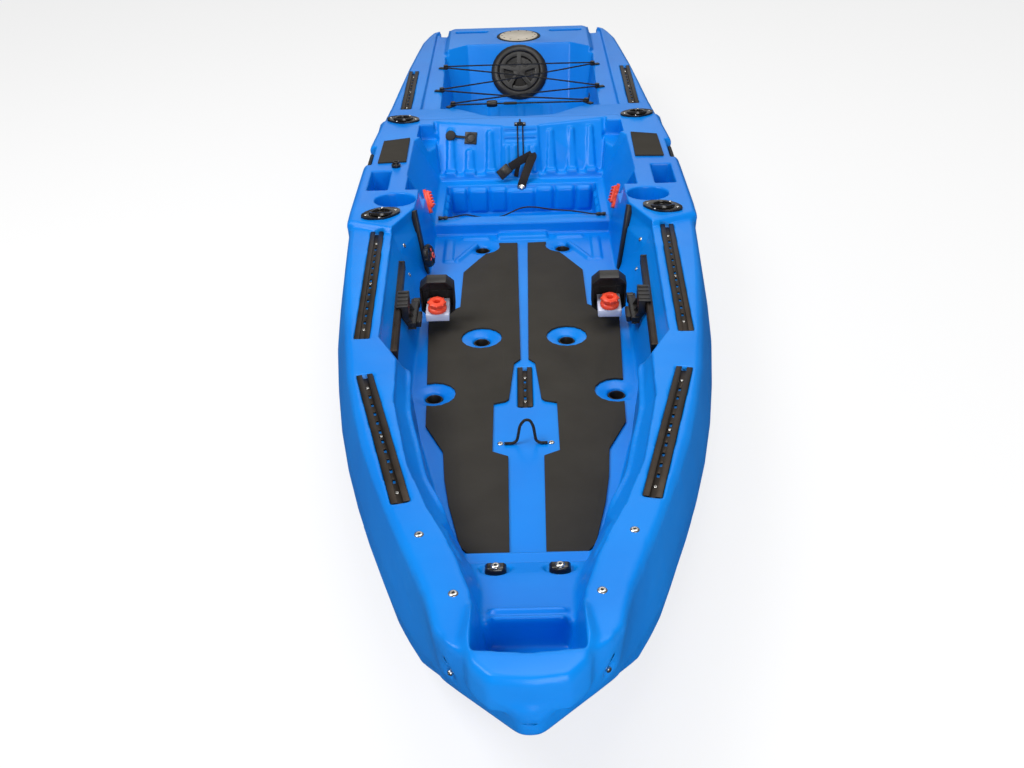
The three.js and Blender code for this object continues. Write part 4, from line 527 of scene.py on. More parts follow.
def screw_head(radius):
    """A pan head with a stepped drive recess, standing on Z 0."""
    return spun([
        (0, 0.08 * radius), (0.3 * radius, 0.1 * radius), (0.36 * radius, 0.3 * radius),
        (0.62 * radius, 0.32 * radius), (0.86 * radius, 0.22 * radius), (radius, 0.06 * radius),
        (radius, -0.12 * radius), (0, -0.12 * radius),
    ], 18, Matrix())


def repeated(model, places):
    """The model copied to each place, each copy with its own mesh, and joined up."""
    copies = []
    for spot in places:
        piece = placed(model.name, model.data.copy())
        piece.data.transform(spot)
        copies.append(piece)
    bpy.data.objects.remove(model)
    return joined(copies)


def screwed(name, radius, places, body="hull"):
    """A set of stainless screws at their places, and a dark block of painted shade in the drive recess of
    each.
    """
    fitted(repeated(screw_head(radius), places), name, steel, body)
    # The dark block in the bottom of each steel drive recess is painted shade.
    drive = bar((0.5 * radius, 0.5 * radius, 0.1 * radius), moved(0, 0, 0.1 * radius), 0.02 * radius)
    fitted(repeated(drive, places), name + "_drive_shade", bore_black_and_recess_shade, body)


flange_screws = []
bores = []
for row, (x, y, z) in ROD_PLACES.items():
    for hand, side in SIDES.items():
        lie = moved(side * x, y, z) @ turned(ROD_TURNS[row] * side)
        mouth = moved(side * x, y, z) @ ROD_LEAN
        collar = spun([
            (0.0242, 0.001), (0.0242, 0.006), (0.0256, 0.0074), (0.0285, 0.0074), (0.0308, 0.006),
            (0.0312, 0.001), (0.0242, 0.001),
        ], 40, mouth @ moved(0, 0, 0.001))
        edged(f"rod_holder_{row}_{hand}", glossy, 0.0016, extra=[collar])
        bores.append(spun([
            (0.0238, 0.005), (0.0238, -0.192), (0, -0.192), (0, -0.19), (0.0232, -0.19), (0.0232, 0.005),
            (0.0238, 0.005),
        ], 32, mouth))
        for across, ahead in ((-0.0395, 0), (0.0395, 0), (-0.012, -0.02805), (0.012, 0.02805)):
            flange_screws.append(lie @ moved(across, ahead, FLANGE_TOP))
screwed("rod_holder_screws", 0.0038, flange_screws)
fitted(joined(bores), "rod_holder_bores", bore_black_and_recess_shade)

# Gear tracks: anodised aluminium channels with two inward lips, let into grooves of the deck and screwed
# down through their floor, which has a row of drain slots.
TRACKS = {}
for row, (x, y, z), (across, ahead, up), length in (
        ("fore", (0.263, -1.0574, 0.2782), (-0.24722, -0.96826, 0.03685), 0.457),
        ("mid", (0.35055, -0.43393, 0.27295), (-0.03906, -0.99921, -0.00728), 0.531),
        ("aft", (0.36653, 0.9639, 0.2774), (-0.01184, -0.99991, 0.0067), 0.418)):
    for hand, side in SIDES.items():
        TRACKS[f"gear_track_{row}_{hand}"] = ((side * x, y, z), (side * across, ahead, up), length)
TRACKS["gear_track_centre"] = ((0, -0.65535, 0.115), (0, -1, 0), 0.1615)
TRACK_FLOOR = -0.009
SLOT_PITCH = 0.033
# Hard anodising gives a dark bronze grey metal, satin along the drawn length
anodised = speckled(
    "anodised aluminium", 0.42, ("37302A", "453D36"), 0.05, 0.0012, 0.0001, (0.36, 0.5), metallic=1.0)


def on_track(origin, along):
    """A place on a track: X along it and Z out of the deck."""
    run = Vector(along).normalized()
    out = (Vector((0, 0, 1)) - run * run.z).normalized()
    return wall_place(origin, out, out.cross(run))


track_screws = []
for name, (origin, along, length) in TRACKS.items():
    lie = on_track(origin, along)
    count = int((length - 0.04) / SLOT_PITCH)
    screws = (-0.3, 0.3) if name.endswith("centre") else (-0.4, 0, 0.4)
    slots = []
    for i in range(count):
        at = (i - (count - 1) / 2) * SLOT_PITCH
        if min(abs(at - share * length) for share in screws) > 0.013:
            slots.append(bar((0.0125, 0.005, 0.012), lie @ moved(at, 0, TRACK_FLOOR - 0.001), 0.001))
    track = carved(copied(name), slots)
    bevelled(track, 0.0006, 28)
    fitted(track, name + "_finished", anodised, "hull", name)
    track_screws += [lie @ moved(share * length, 0, TRACK_FLOOR) for share in screws]
screwed("track_screws", 0.0042, track_screws)

# Tank well hatch: a flanged ring of matt nylon screwed to the slope, and a twist lock lid with five recessed
# pockets of glossy nylon round its hub.
edged("tank_hatch_ring", nylon, 0.0012)
LID_RADIUS = 0.0755
LID_LOW = 0.0036
LID_TOP = 0.0146


def slab(outline, low, high, place):
    """A plate of one outline between two heights, set into its place."""
    piece = meshed("slab", [(x, y, low) for x, y in outline], [], [tuple(range(len(outline)))])
    worked(piece, extrude_region_move={"TRANSFORM_OT_translate": {"value": (0, 0, high - low)}},
           normals_make_consistent={"inside": False})
    piece.data.transform(place)
    return piece


LID_EDGE = 0.003
lid = spun([
    (0, LID_LOW), (LID_RADIUS, LID_LOW), (LID_RADIUS, LID_TOP - LID_EDGE), (LID_RADIUS - LID_EDGE, LID_TOP),
    (0, LID_TOP),
], 64, TANK_HATCH)
pockets = []
for i in range(5):
    middle = math.radians(90 + 36 + 72 * i)
    arc = []
    for radius, half, steps in ((0.058, math.radians(28), 8), (0.022, math.radians(18), 4)):
        sweep = [middle - half + 2 * half * k / steps for k in range(steps + 1)]
        if radius < 0.03:
            sweep.reverse()
        arc += [(radius * math.cos(a), radius * math.sin(a)) for a in sweep]
    pockets.append(slab(arc, 0.0052, 0.03, TANK_HATCH))
carved(lid, pockets)
bevelled(lid, 0.0012, 40)
fitted(lid, "tank_hatch_cover", nylon, "tank_hatch_lid", node="tank_hatch_lid")
POCKET_FLOOR = [(0, 0.0056), (0.0585, 0.0056), (0.0585, 0.0062), (0.05, 0.0066), (0, 0.0075)]
pocket_floor = spun(POCKET_FLOOR, 48, TANK_HATCH)
fitted(pocket_floor, "tank_hatch_pocket_floor", glossy, "tank_hatch_lid")

# Stern hatch: a screw-in inspection plate of beige polypropylene in a black flange, with shallow notches for
# its spanner round the rim, drawn as small dark blocks of painted shade.
STERN_LID_TOP = 0.0157
beige = speckled(
    "beige polypropylene", 0.38, ("B3A998", "C6BDAE"), 0.03, 0.0012, 0.0002, (0.32, 0.46), specular=0.45)
rubber = speckled(
    "moulded rubber", 0.62, ("191919", "232323"), 0.02, 0.0008, 0.0003, (0.55, 0.7), specular=0.35)
edged("stern_hatch_ring", rubber, 0.001)
edged("stern_hatch_lid", beige, 0.0012, "stern_hatch_lid")
# Each notch is a dark block barely proud of the lid: painted shade, not the lid's own colour.
shade_block = bar((0.007, 0.0055, 0.0024), Matrix(), 0.0008)
notch_places = [STERN_HATCH @ turned(30 * i) @ moved(0.062, 0, STERN_LID_TOP - 0.0008) for i in range(12)]
fitted(repeated(shade_block, notch_places), "stern_lid_notch_shade", bore_black_and_recess_shade, "stern_hatch_lid")

# Tank lacing: button hooks of nylon screwed to the deck, with one elastic cord laced round them, held by a
# spring toggle and a joining sleeve in front.
HOOKS = {"fore": (0.2133, 0.7684, 0.2868), "mid": (0.2601, 0.9649, 0.2721), "aft": (0.2601, 1.223, 0.2721)}
LACING_RADIUS = 0.0025
HOOK_REACH = 0.0066
WRAPS = [
    ("fore", -1, -90, -270), ("mid", 1, -90, 90), ("aft", -1, -90, -270), ("aft", 1, 90, -90),
    ("mid", -1, 90, 270), ("fore", 1, 90, -90),
]
LIFTS = [0.0034, 0.0034, 0, -0.0034, -0.0034]
BRAID = 0.004


def braided(name, length, dark="141415", light="29292A", roughness=0.7):
    """Braided polyester over rubber: two sets of strands crossing, drawn as coarse as they can show. The
    raised crossings are painted lighter and the gaps between strands darker, as painted shade.
    """
    material, shader, place = start_material(name, roughness, specular=0.3)
    strands = []
    for slant in (1, -1):
        lay = add_node(material, "Mapping", {
            "Vector": place.outputs["UV"], "Scale": (length / BRAID, 2.0 * slant, 1.0)})
        strands.append(add_node(material, "TexWave", {
            "Vector": lay.outputs["Vector"], "Scale": 0.32, "Distortion": 0.0},
            bands_direction="DIAGONAL"))
    crossing = add_node(material, "Math", {
        0: strands[0].outputs["Fac"], 1: strands[1].outputs["Fac"]}, operation="MULTIPLY")
    # The strand relief also sets the colour: painted shade in the gaps, lighter on the raised crossings.
    ramp = add_node(material, "ValToRGB", {"Fac": crossing.outputs["Value"]})
    ramp.color_ramp.elements[0].color = linear(dark)
    ramp.color_ramp.elements[1].color = linear(light)
    bump = add_node(material, "Bump", {
        "Height": crossing.outputs["Value"], "Strength": 0.4, "Distance": 0.0004})
    material.node_tree.links.new(ramp.outputs["Color"], shader.inputs["Base Color"])
    material.node_tree.links.new(bump.outputs["Normal"], shader.inputs["Normal"])
    return material


def laid(line, material, node):
    """Finishes a cord that rides on the hull and replaces its CAD node."""
    line.data.materials.append(material)
    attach(line, "hull")
    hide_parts(node)


for zone in HOOKS:
    for hand in SIDES:
        edged(f"bungee_hook_{zone}_{hand}", nylon, 0.0006)
FRONT_Y = 0.7618
FRONT_Z = 0.2868
lacing = [(-0.08832, FRONT_Y, FRONT_Z)]
last = None
for i, (zone, side, start, stop) in enumerate(WRAPS):
    x, y, z = HOOKS[zone]
    wrap = []
    for step in range(5):
        angle = math.radians(start + (stop - start) * step / 4)
        wrap.append((side * x + HOOK_REACH * math.cos(angle), y + HOOK_REACH * math.sin(angle), z))
    if last and LIFTS[i - 1]:
        lacing.append(((last[0] + wrap[0][0]) / 2, (last[1] + wrap[0][1]) / 2,
                       (last[2] + wrap[0][2]) / 2 + LIFTS[i - 1]))
    lacing += wrap
    last = wrap[-1]
lacing.append((-0.08772, FRONT_Y, FRONT_Z))
bungee, length, _ = rope("tank_bungee_cord", lacing, LACING_RADIUS)
laid(bungee, braided("braided elastic cord", length), "tank_bungee")
lock = edged("cord_lock", nylon, 0.0008, "cord_lock")
sleeve = spun([
    (0.0027, -0.021), (0.004, -0.021), (0.0046, -0.017), (0.0046, 0.017), (0.004, 0.021), (0.0027, 0.021),
    (0.0027, -0.021),
], 20, moved(-0.03, FRONT_Y, FRONT_Z) @ turned(90, "Y"))
fitted(sleeve, "cord_sleeve", rubber)

drain_cover = bar((0.026, 0.04, 0.005), on_wall((0, 1.18, 0.156), (1, 0, 0)), 0.0015)
fitted(drain_cover, "tank_drain_cover", nylon)

# Seat well cord: a thin elastic cord along the front of the seat well, bulging over the stowed gear, with a
# crimped end fitting on each side.
SEAT_CORD_RADIUS = 0.002
SEAT_CORD_ENDS = (0.22185, 0.1751, 0.1553)
SEAT_CORD_SHARES = [
    (-0.9, 0.06, 0.24), (-0.81, 0.32, 0.24), (-0.71, 0.7, 0.1), (-0.585, 0.94, -0.33),
    (-0.45, 1, -0.62), (-0.335, 0.91, -0.52), (-0.225, 0.76, -0.14), (-0.125, 0.68, 0.38),
    (-0.035, 0.68, 0.81), (0.055, 0.7, 1), (0.16, 0.73, 0.95), (0.28, 0.7, 0.76), (0.405, 0.65, 0.57),
    (0.54, 0.59, 0.48), (0.675, 0.47, 0.38), (0.8, 0.26, 0.29), (0.9, 0.06, 0.24),
]
x, y, z = SEAT_CORD_ENDS
route = [(-x, y, z), *[(a * x, y + 0.034 * b, LEDGE + 0.021 * c) for a, b, c in SEAT_CORD_SHARES], (x, y, z)]
cord, length, _ = rope("seat_well_cord_line", route, SEAT_CORD_RADIUS)
laid(cord, braided("thin elastic cord", length), "seat_well_cord")
ends = []
for side in BOTH:
    end = moved(side * x, y, z) @ turned(90 * side, "Y")
    ends.append(spun([
        (0, -0.013), (0.0036, -0.013), (0.0048, -0.008), (0.0048, -0.003), (0.0038, -0.001), (0.0038, 0.003),
        (0.005, 0.005), (0.005, 0.012), (0.0042, 0.0135), (0, 0.0135),
    ], 20, end))
    ends.append(bar((0.012, 0.008, 0.0035), end @ turned(90, "Y"), 0.001))
cord_ends = fitted(joined(ends), "seat_well_cord_ends", nylon)

# Seat strap: a nylon eyelet on the pillar with a doubled cord, and a webbing strap bolted under it that
# carries a ladder lock buckle and its spare tail.
STRAP_CORD_RADIUS = 0.002
EYELET_Y = 0.55199
EYELET_LOW = 0.2883
PILLAR_LEAN = math.atan2(PLATFORM - LEDGE, PILLAR_TOP - PILLAR_FOOT)


def on_pillar(x, z, lift):
    """A point on the leaning pillar at a height, lifted off it."""
    return (x, pillar_y(z) - lift * math.sin(PILLAR_LEAN), z + lift * math.cos(PILLAR_LEAN))


edged("strap_eyelet", nylon, 0.0008)
eyelet_screws = [moved(side * 0.0125, EYELET_Y, EYELET_LOW + 0.004) for side in BOTH]
screwed("eyelet_screws", 0.003, eyelet_screws)
half = [
    *[on_pillar(-0.008, z, 0.0029) for z in (0.196, 0.2247, 0.25504, 0.278)],
    (-0.008, 0.53869, 0.2946), (-0.0072, 0.54299, 0.2946), (-0.006, 0.54999, 0.2949),
]
route = [*half, (0, EYELET_Y, 0.2952), *[(-a, b, c) for a, b, c in reversed(half)]]
strap_cord, length, _ = rope("strap_cord_line", route, STRAP_CORD_RADIUS)
laid(strap_cord, braided("strap cord", length), "strap_cord")

WEBBING = 0.025
TAIL = 0.013
THICKNESS = 0.0022
# Woven nylon webbing: a fine cross rib every 1.2 mm, with painted shade as a darker line in the grooves
# between the ribs
webbing, shader, place = start_material("woven nylon webbing", 0.8, specular=0.25)
lay = add_node(webbing, "Mapping", {"Vector": place.outputs["UV"], "Scale": (1 / 0.0012, 1 / 0.004, 1.0)})
ribs = add_node(webbing, "TexWave", {"Vector": lay.outputs["Vector"], "Scale": 0.32}, bands_direction="X")
warp = add_node(webbing, "TexWave", {"Vector": lay.outputs["Vector"], "Scale": 0.32}, bands_direction="Y")
weave = add_node(webbing, "Math", {0: ribs.outputs["Fac"], 1: warp.outputs["Fac"]}, operation="ADD")
rib_relief_and_shade = add_node(webbing, "MapRange", {"Value": weave.outputs["Value"], "From Max": 2.0})
# Low parts of the weave are coloured darker: painted shade between the ribs.
ramp = add_node(webbing, "ValToRGB", {"Fac": rib_relief_and_shade.outputs["Result"]})
ramp.color_ramp.elements[0].color = linear("181615")
ramp.color_ramp.elements[1].color = linear("302C29")
raised = add_node(webbing, "Bump", {"Height": rib_relief_and_shade.outputs["Result"], "Strength": 0.5, "Distance": 0.0005})
webbing.node_tree.links.new(ramp.outputs["Color"], shader.inputs["Base Color"])
webbing.node_tree.links.new(raised.outputs["Normal"], shader.inputs["Normal"])


def ribbon(name, stops, width):
    """A flat woven band through (point, width direction) stops, with its own map in metres."""
    line, _, places = rope("ribbon_course", [p for p, _ in stops], 0.001)
    bpy.data.objects.remove(line)
    rows = []
    run = 0.0
    for i, spot in enumerate(places):
        at = min(i / ROPE_STEPS, len(stops) - 1)
        k = min(int(at), len(stops) - 2)
        wide = Vector(stops[k][1]).lerp(Vector(stops[k + 1][1]), at - k)
        ahead = places[min(i + 1, len(places) - 1)] - places[max(i - 1, 0)]
        wide = (wide - ahead * wide.dot(ahead) / ahead.length_squared).normalized()
        if i:
            run += (spot - places[i - 1]).length
        rows.append((spot, wide, run))
    corners = [spot + wide * width * share for spot, wide, _ in rows for share in (-0.5, 0.5)]
    faces = [(2 * r, 2 * r + 1, 2 * r + 3, 2 * r + 2) for r in range(len(rows) - 1)]
    piece = meshed(name, corners, [], faces)
    chart = piece.data.uv_layers.new(name="UVMap")
    for loop in piece.data.loops:
        row, column = divmod(loop.vertex_index, 2)
        chart.data[loop.index].uv = (rows[row][2], column * width)
    modified(piece, "SOLIDIFY", thickness=THICKNESS, offset=0)
    bevelled(piece, 0.0006, 50)
    return piece, run, [row[0] for row in rows]


def strap_point(x, y, z):
    """A point of the strap, in shares of its 72 mm reach from the foot of the pillar."""
    return (0.072 * x, PILLAR_FOOT + 0.072 * y, LEDGE + 0.072 * z)


RISE = (0.91, 0, -0.41)
FALL = (-0.58, 0, 0.81)
FEET = [
    ((0, 0.4166, 0.126), (1, 0, 0)), ((0, 0.4179, 0.138), (1, 0, 0)),
    ((0.002, 0.4192, 0.1503), (1, 0, -0.1)),
]
rise = [(0.11, -0.53, 0.21), (0.25, -0.22, 0.47), (0.4, 0.05, 0.74), (0.5, 0.24, 0.93), (0.46, 0.31, 1)]
fall = [
    (0.47, 0.29, 0.96), (0.19, 0.17, 0.85), (-0.11, 0.04, 0.74), (-0.36, -0.07, 0.62), (-0.46, -0.11, 0.56)]
tail = [(-0.06, 0.03, 0.72), (-0.13, 0.01, 0.53), (-0.18, 0.01, 0.31), (-0.22, 0.01, 0.1)]
up_band, up_length, up_path = ribbon(
    "strap_rise", [*FEET, *[(strap_point(*p), RISE) for p in rise]], WEBBING)
down_band, down_length, down_path = ribbon("strap_fall", [(strap_point(*p), FALL) for p in fall], WEBBING)
tail_band, _, _ = ribbon("strap_tail", [(strap_point(*p), (1, 0, -0.2)) for p in tail], TAIL)
strap = fitted(joined([up_band, down_band]), "seat_strap_webbing", webbing, "hull", "seat_strap")
spare = fitted(tail_band, "seat_strap_tail", webbing)
buckle = edged("strap_buckle", nylon, 0.0012)
edged("strap_bolt", steel, 0.0008)
screwed("tail_bolt", 0.0055, [wall_place((-0.019, 0.4685, 0.156), PILLAR_FACE)])

# Power socket: a square nylon plate with four bright screws and a dark bore, and the ribbed rubber cap that
# swings on its tether ring.
CAP_X = -0.062
CAP_TOP = 0.016
cap_place = SOCKET @ CAP_TURN @ moved(CAP_X, 0, 0)
plate = [
    bar((0.037, 0.037, 0.0055), SOCKET @ moved(0, 0, 0.0055), 0.0014),
    spun([
        (0, 0.004), (0.0065, 0.004), (0.0065, 0.0065), (0.0095, 0.0065), (0.0095, 0.0095),
        (0.0105, 0.0108), (0.0118, 0.0108), (0.0118, 0.002), (0, 0.002),
    ], 28, SOCKET),
    spun([(0, 0.004), (0.0028, 0.004), (0.0028, 0.0075), (0, 0.0085)], 12, SOCKET),
]
fitted(joined(plate), "power_socket_plate", nylon, node="power_socket")
corners = [(a * 0.0142, b * 0.0142, 0.0072) for a in BOTH for b in BOTH]
screwed("socket_screws", 0.0032, [SOCKET @ moved(*corner) for corner in corners])
ribs = []
for i in range(18):
    ribs.append(bar((0.0016, 0.003, 0.0065), cap_place @ moved(0, 0, CAP_TOP - 0.0045)
                    @ turned(20 * i) @ moved(0, 0.0148, 0), 0.0005))
edged("socket_cap", rubber, 0.0009, "socket_cap", extra=ribs)

# Side strips: black nylon rubbing strips on the walls ahead of the platforms, with the steering dial of the
# rudder on the right hand one: a gripped wheel with an orange hub insert.
DIAL = wall_place((-0.25058, -0.09572, 0.16867), (0.96, -0.2, 0.2), (-0.1506, 0.2368, 0.9598))
orange = speckled(
    "orange polypropylene", 0.36, ("E8432A", "F4573A"), 0.02, 0.0012, 0.0002, (0.3, 0.44), specular=0.4)
for hand in SIDES:
    edged(f"side_strip_{hand}", nylon, 0.0015)
grips = []
for i in range(8):
    grips.append(bar((0.003, 0.012, 0.0035), DIAL @ turned(45 * i + 22.5) @ moved(0, 0.019, 0.015), 0.001))
edged("steering_dial", nylon, 0.0012, "steering_dial", extra=grips)
insert = [spun([
    (0, 0.0185), (0.0045, 0.0185), (0.0055, 0.0205), (0.0075, 0.0205), (0.0085, 0.0188), (0.0088, 0.0175),
    (0, 0.0175),
], 24, DIAL)]
for i in range(3):
    insert.append(bar((0.004, 0.009, 0.0035), DIAL @ turned(120 * i) @ moved(0, 0.0145, 0.0158), 0.001))
fitted(joined(insert), "dial_insert", orange, "steering_dial")

# Seat levers: orange polypropylene latches that turn on a boss in the seat wall, with finger ridges along
# their inner edge.
LEVER_TOP = 0.013
LEVER_LEAN = math.radians(17)
LEVER_TURN = 22
for hand, side in SIDES.items():
    lever = wall_place((side * 0.26203, 0.1513, 0.188), (-side * 0.935323, 0, 0.353796),
                       (0, math.sin(LEVER_LEAN), math.cos(LEVER_LEAN)))
    teeth = [bar((0.0135, 0.05, 0.011), lever @ moved(0, 0.0295, LEVER_TOP + 0.003), 0.004)]
    for i in range(5):
        tooth = lever @ moved(0, 0.0115 + 0.009 * i, LEVER_TOP + 0.0095)
        teeth.append(bar((0.0115, 0.0042, 0.0075), tooth, 0.0014))
    lever_body = f"seat_lock_lever_{hand}"
    latch = edged(lever_body, orange, 0.0016, lever_body, extra=teeth)
    latch.data.transform(lever @ turned(LEVER_TURN * side) @ lever.inverted())

# Foot pedals: an aluminium rail on each side wall, a nylon carriage that slides on it, a nylon cup that
# rocks on the arm, a pale plastic block in the cup and an orange trim knob.
RAIL = (0.28815, -0.46702, 0.218)
RAIL_LENGTH = 0.437
RAIL_WIDTH = 0.016
RAIL_HEIGHT = 0.024
CARRIAGE_Y = -0.4582
CARRIAGE_LENGTH = 0.08
pale = speckled(
    "pale polycarbonate block", 0.3, ("CBD0E6", "DCE0F2"), 0.03, 0.0012, 0.0002, (0.24, 0.38), specular=0.5)
for hand, side in SIDES.items():
    along = Vector((-side * 0.04316, -0.99907, 0))
    lie = on_track((side * RAIL[0], *RAIL[1:]), along)
    inward = 1 if (lie.to_3x3() @ Vector((0, 1, 0))).x * side < 0 else -1
    ridges = []
    for z in (-0.006, 0.006):
        ridges.append(bar((RAIL_LENGTH, 0.002, 0.004), lie @ moved(0, inward * RAIL_WIDTH / 2, z), 0.0008))
    for y in (-0.0045, 0.0045):
        ridges.append(bar((RAIL_LENGTH, 0.0035, 0.002), lie @ moved(0, y, RAIL_HEIGHT / 2), 0.0008))
    for end in BOTH:
        stop = lie @ moved(end * (RAIL_LENGTH / 2 - 0.003), 0, 0)
        ridges.append(bar((0.006, 0.018, 0.0265), stop, 0.0025))
    edged(f"pedal_rail_{hand}", anodised, 0.0012, "hull", extra=ridges)

    carriage_body = f"pedal_carriage_{hand}"
    slide = (CARRIAGE_Y - RAIL[1]) / along.y
    clamp = lie @ moved(slide, 0, 0)
    frame_bars = [
        bar((CARRIAGE_LENGTH, 0.017, 0.03), clamp @ moved(0, inward * 0.0175, 0.0015), 0.002),
        bar((CARRIAGE_LENGTH, 0.028, 0.0055), clamp @ moved(0, inward * 0.0115, 0.0155), 0.0015),
    ]
    for share in (-0.36, -0.12, 0.12, 0.36):
        frame_bars.append(bar((0.005, 0.024, 0.003),
                              clamp @ moved(share * CARRIAGE_LENGTH, inward * 0.012, 0.0188), 0.001))
    # An open lattice between the clamp and the hinge of the pedal
    for x in (0.2486, 0.2565, 0.2645):
        frame_bars.append(bar((0.0026, 0.118, 0.017), moved(side * x, -0.433, 0.1825), 0.0008))
    for y in (-0.489, -0.472, -0.455, -0.438, -0.421, -0.404, -0.387):
        frame_bars.append(bar((0.0185, 0.0026, 0.017), moved(side * 0.2565, y, 0.1825), 0.0008))
    frame_bars.append(bar((0.011, 0.05, 0.015), moved(side * 0.2425, -0.452, 0.178), 0.0015))
    for z in (0.175, 0.1895):
        frame_bars.append(bar((0.0185, 0.12, 0.0026), moved(side * 0.2565, -0.4325, z), 0.0008))
    for y in (-0.488, -0.458, -0.428):
        web = wall_place((side * 0.2665, y, 0.196), (0, 1, 0), (side * 0.55, 0, 1))
        frame_bars.append(bar((0.016, 0.042, 0.0035), web, 0.001))
    frame_bars.append(spun([(0, -0.002), (0.012, -0.002), (0.012, 0.012), (0.01, 0.014), (0, 0.014)], 24,
                           moved(side * 0.2478, -0.3782, 0.182) @ turned(90 * side, "Y")))
    fitted(joined(frame_bars), f"pedal_carriage_frame_{hand}", nylon, carriage_body, node=carriage_body)

    stand = moved(side * 0.20155, -0.3502, 0.203) @ turned(8, "X") @ turned(90, "X")
    lips = []
    for x in (-0.0215, 0.0215):
        lips.append(bar((0.003, 0.088, 0.004), stand @ moved(x, 0, 0.0045), 0.001))
    for y in (0.006, 0.03):
        lips.append(bar((0.075, 0.003, 0.004), stand @ moved(0, y, 0.0045), 0.001))
    cup = edged(f"foot_pedal_{hand}", nylon, 0.0022, f"foot_pedal_{hand}", extra=lips)
    block = edged(f"pedal_block_{hand}", pale, 0.0028, f"foot_pedal_{hand}")
    # The cup and its block are squatter than their CAD solids
    for piece, foot, scale in ((cup, 0.057, (0.9, 0.87, 0.66, 1)), (block, 0.043, (0.94, 0.72, 1, 1))):
        fit = stand @ moved(side * 0.002, -foot, 0) @ Matrix.Diagonal(scale) @ moved(0, foot, 0)
        piece.data.transform(fit @ stand.inverted())
    post = moved(side * 0.20355, -0.401629, 0.173) @ turned(8, "X")
    rings = [spun([
        (0.0078, 0.004), (0.0078, 0.0255), (0.0105, 0.0282), (0.0165, 0.0282), (0.0198, 0.0252),
        (0.0198, 0.0195), (0.0172, 0.0165), (0.0172, 0.0135), (0.0205, 0.0118), (0.0222, 0.0092),
        (0.0222, 0.0038), (0.0195, 0.0012), (0, 0.0012), (0, 0.004), (0.0078, 0.004),
    ], 32, post)]
    for i in range(8):
        rings.append(bar((0.006, 0.0035, 0.0065), post @ turned(45 * i) @ moved(0.0192, 0, 0.0222), 0.0012))
    fitted(joined(rings), f"trim_knob_{hand}", orange, f"pedal_knob_{hand}", f"pedal_knob_{hand}")

# Bow tie-downs, carrying handles and cable gland: small nylon and rubber fittings, screwed to the ramp, set
# in the platform sides and nutted through the platform.
screws = []
for hand, side in SIDES.items():
    edged(f"bow_tie_down_{hand}", glossy, 0.0018)
    low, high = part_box(f"bow_tie_down_{hand}")
    screws.append(moved((low[0] + high[0]) / 2, (low[1] + high[1]) / 2, high[2]))
    edged(f"side_handle_{hand}", rubber, 0.0008, f"side_handle_{hand}")
edged("cable_gland", glossy, 0.0008)

# Floor strap: a looped webbing hold-down over the centre plate, screwed at both ends, with a moulded bar of
# the hull under it.
FLOOR_STRAP_RADIUS = 0.003
FLOOR_SHARES = [
    (-1, 0, 0), (-0.59, 0.06, 0), (-0.43, 0.22, 0.09), (-0.34, 0.44, 0.42), (-0.25, 0.78, 0.77),
    (-0.045, 1, 1), (0.18, 1, 1), (0.34, 0.72, 0.77), (0.41, 0.44, 0.42), (0.48, 0.22, 0.09),
    (0.64, 0.06, 0), (1, 0, 0),
]
route = [(0.044 * x, -0.876 + 0.018 * y, 0.1186 + 0.043 * z) for x, y, z in FLOOR_SHARES]
loop, length, _ = rope("floor_strap_loop", route, FLOOR_STRAP_RADIUS)
laid(loop, braided("tubular webbing", length, "1C1A18", "34302C", 0.8), "floor_strap")

# Deck hardware: stainless screws on the bow deck, the walls and the floor plate, and the bow eye bolts in
# their round recesses.
for side in BOTH:
    screws += [on_deck(side * 0.171, -1.361), on_deck(side * 0.11, -1.503)]
screwed("deck_screws", 0.0078, screws)
screwed("wall_bolts", 0.006, [
    on_wall((0, y, z), (side, 0, 0)) for side in BOTH for y, z in ((-0.16, 0.23), (-0.225, 0.18))])
screwed("floor_strap_screws", 0.0062, [moved(side * 0.052, -0.872, 0.1155) for side in BOTH])
eye = spun([
    (0, -0.0115), (0.0085, -0.0115), (0.0085, -0.0095), (0.0048, -0.0095), (0.0048, -0.002),
    (0.0038, -0.0005), (0.0018, -0.0005), (0.0015, -0.003), (0, -0.003),
], 24, Matrix())
fitted(repeated(eye, EYE_RECESSES), "bow_eye_bolts", steel)

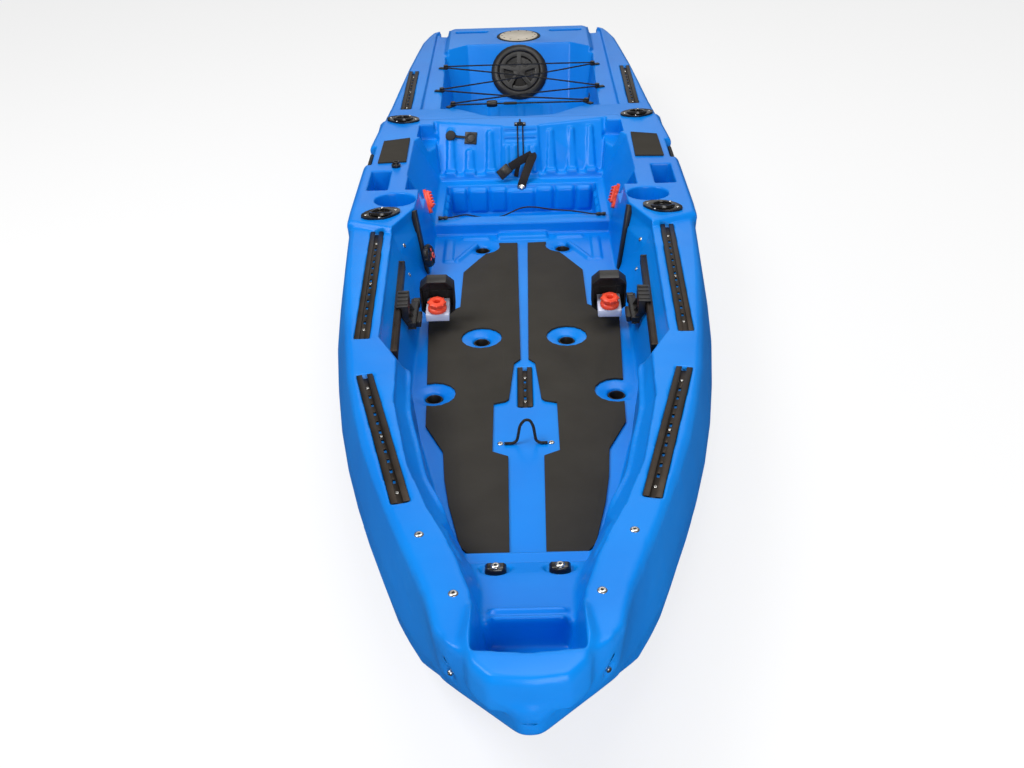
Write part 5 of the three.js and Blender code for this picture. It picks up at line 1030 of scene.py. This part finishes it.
# Studio: a plain pale floor, broad soft lamps above and round the kayak, and a white surround. Glossy
# surfaces mirror a darker floor, so that the flanks keep their colour.
FLOOR_WHITE = "F2F2F2"
FLOOR_MIRRORED = "202830"
bpy.ops.mesh.primitive_plane_add(size=30, location=(0, 0, -0.0005))
floor = bpy.context.object
paper, shader, place = start_material("matt studio paper", 0.9)
glow = add_node(paper, "Emission", {"Color": (1, 1, 1, 1), "Strength": 1.0})
seen = add_node(paper, "LightPath")
shining = add_node(paper, "Math", {0: seen.outputs["Is Camera Ray"], 1: 0.75}, operation="MULTIPLY")
mirrored = add_node(paper, "Mix", {
    "Factor": seen.outputs["Is Glossy Ray"], "A": linear(FLOOR_WHITE), "B": linear(FLOOR_MIRRORED),
}, data_type="RGBA")
paper.node_tree.links.new(mirrored.outputs["Result"], shader.inputs["Base Color"])
blended = add_node(paper, "MixShader", {
    0: shining.outputs["Value"], 1: shader.outputs["BSDF"], 2: glow.outputs["Emission"]})
surface = paper.node_tree.nodes["Material Output"].inputs["Surface"]
paper.node_tree.links.new(blended.outputs["Shader"], surface)
settle(floor, "studio_floor", paper)

world = bpy.data.worlds.new("studio")
world.use_nodes = True
backdrop = world.node_tree.nodes["Background"]
backdrop.inputs["Color"].default_value = (1, 1, 1, 1)
rays = add_node(world, "LightPath")
bright = add_node(world, "MapRange", {"Value": rays.outputs["Is Camera Ray"], "To Min": 0.2, "To Max": 1.0})
world.node_tree.links.new(bright.outputs["Result"], backdrop.inputs["Strength"])
bpy.context.scene.world = world
for name, spot, aim, size, watts in (
        ("key", (-2.2, -1.2, 3.6), (0, 0, 0.2), 1.8, 106), ("top", (0.5, 0.6, 4.0), (0, 0.2, 0.2), 2.4, 75),
        ("rear", (0.3, 10.0, 5.4), (0, 0, 0.2), 6.0, 90), ("front", (1.0, -4.4, 1.9), (0, 0, 0.2), 2.2, 95)):
    lamp = bpy.data.lights.new(name, "AREA")
    lamp.size = size
    lamp.energy = watts
    holder = placed(name, lamp)
    holder.location = spot
    holder.rotation_euler = (Vector(aim) - Vector(spot)).to_track_quat("-Z", "Y").to_euler()

# Camera: the photograph's view over the bow, from a little above. Its place, its turns and its focal length
# were found from the corners and fittings of the hull.
PITCH = math.radians(32.271)
YAW = math.radians(-1.082)
ROLL = math.radians(1.979)
forward = Vector((math.sin(YAW) * math.cos(PITCH), math.cos(YAW) * math.cos(PITCH), -math.sin(PITCH)))
right = Vector((math.cos(YAW), -math.sin(YAW), 0))
down = forward.cross(right)
turned_right = right * math.cos(ROLL) + down * math.sin(ROLL)
turned_down = down * math.cos(ROLL) - right * math.sin(ROLL)
lens = bpy.data.cameras.new("camera")
lens.lens = 39.27
lens.sensor_width = 36
camera = placed("camera", lens)
turn = Matrix((turned_right, -turned_down, -forward)).transposed().to_4x4()
camera.matrix_world = moved(0.0107, -2.7311, 1.4327) @ turn
bpy.context.scene.camera = camera
bpy.context.scene.view_settings.view_transform = "Standard"
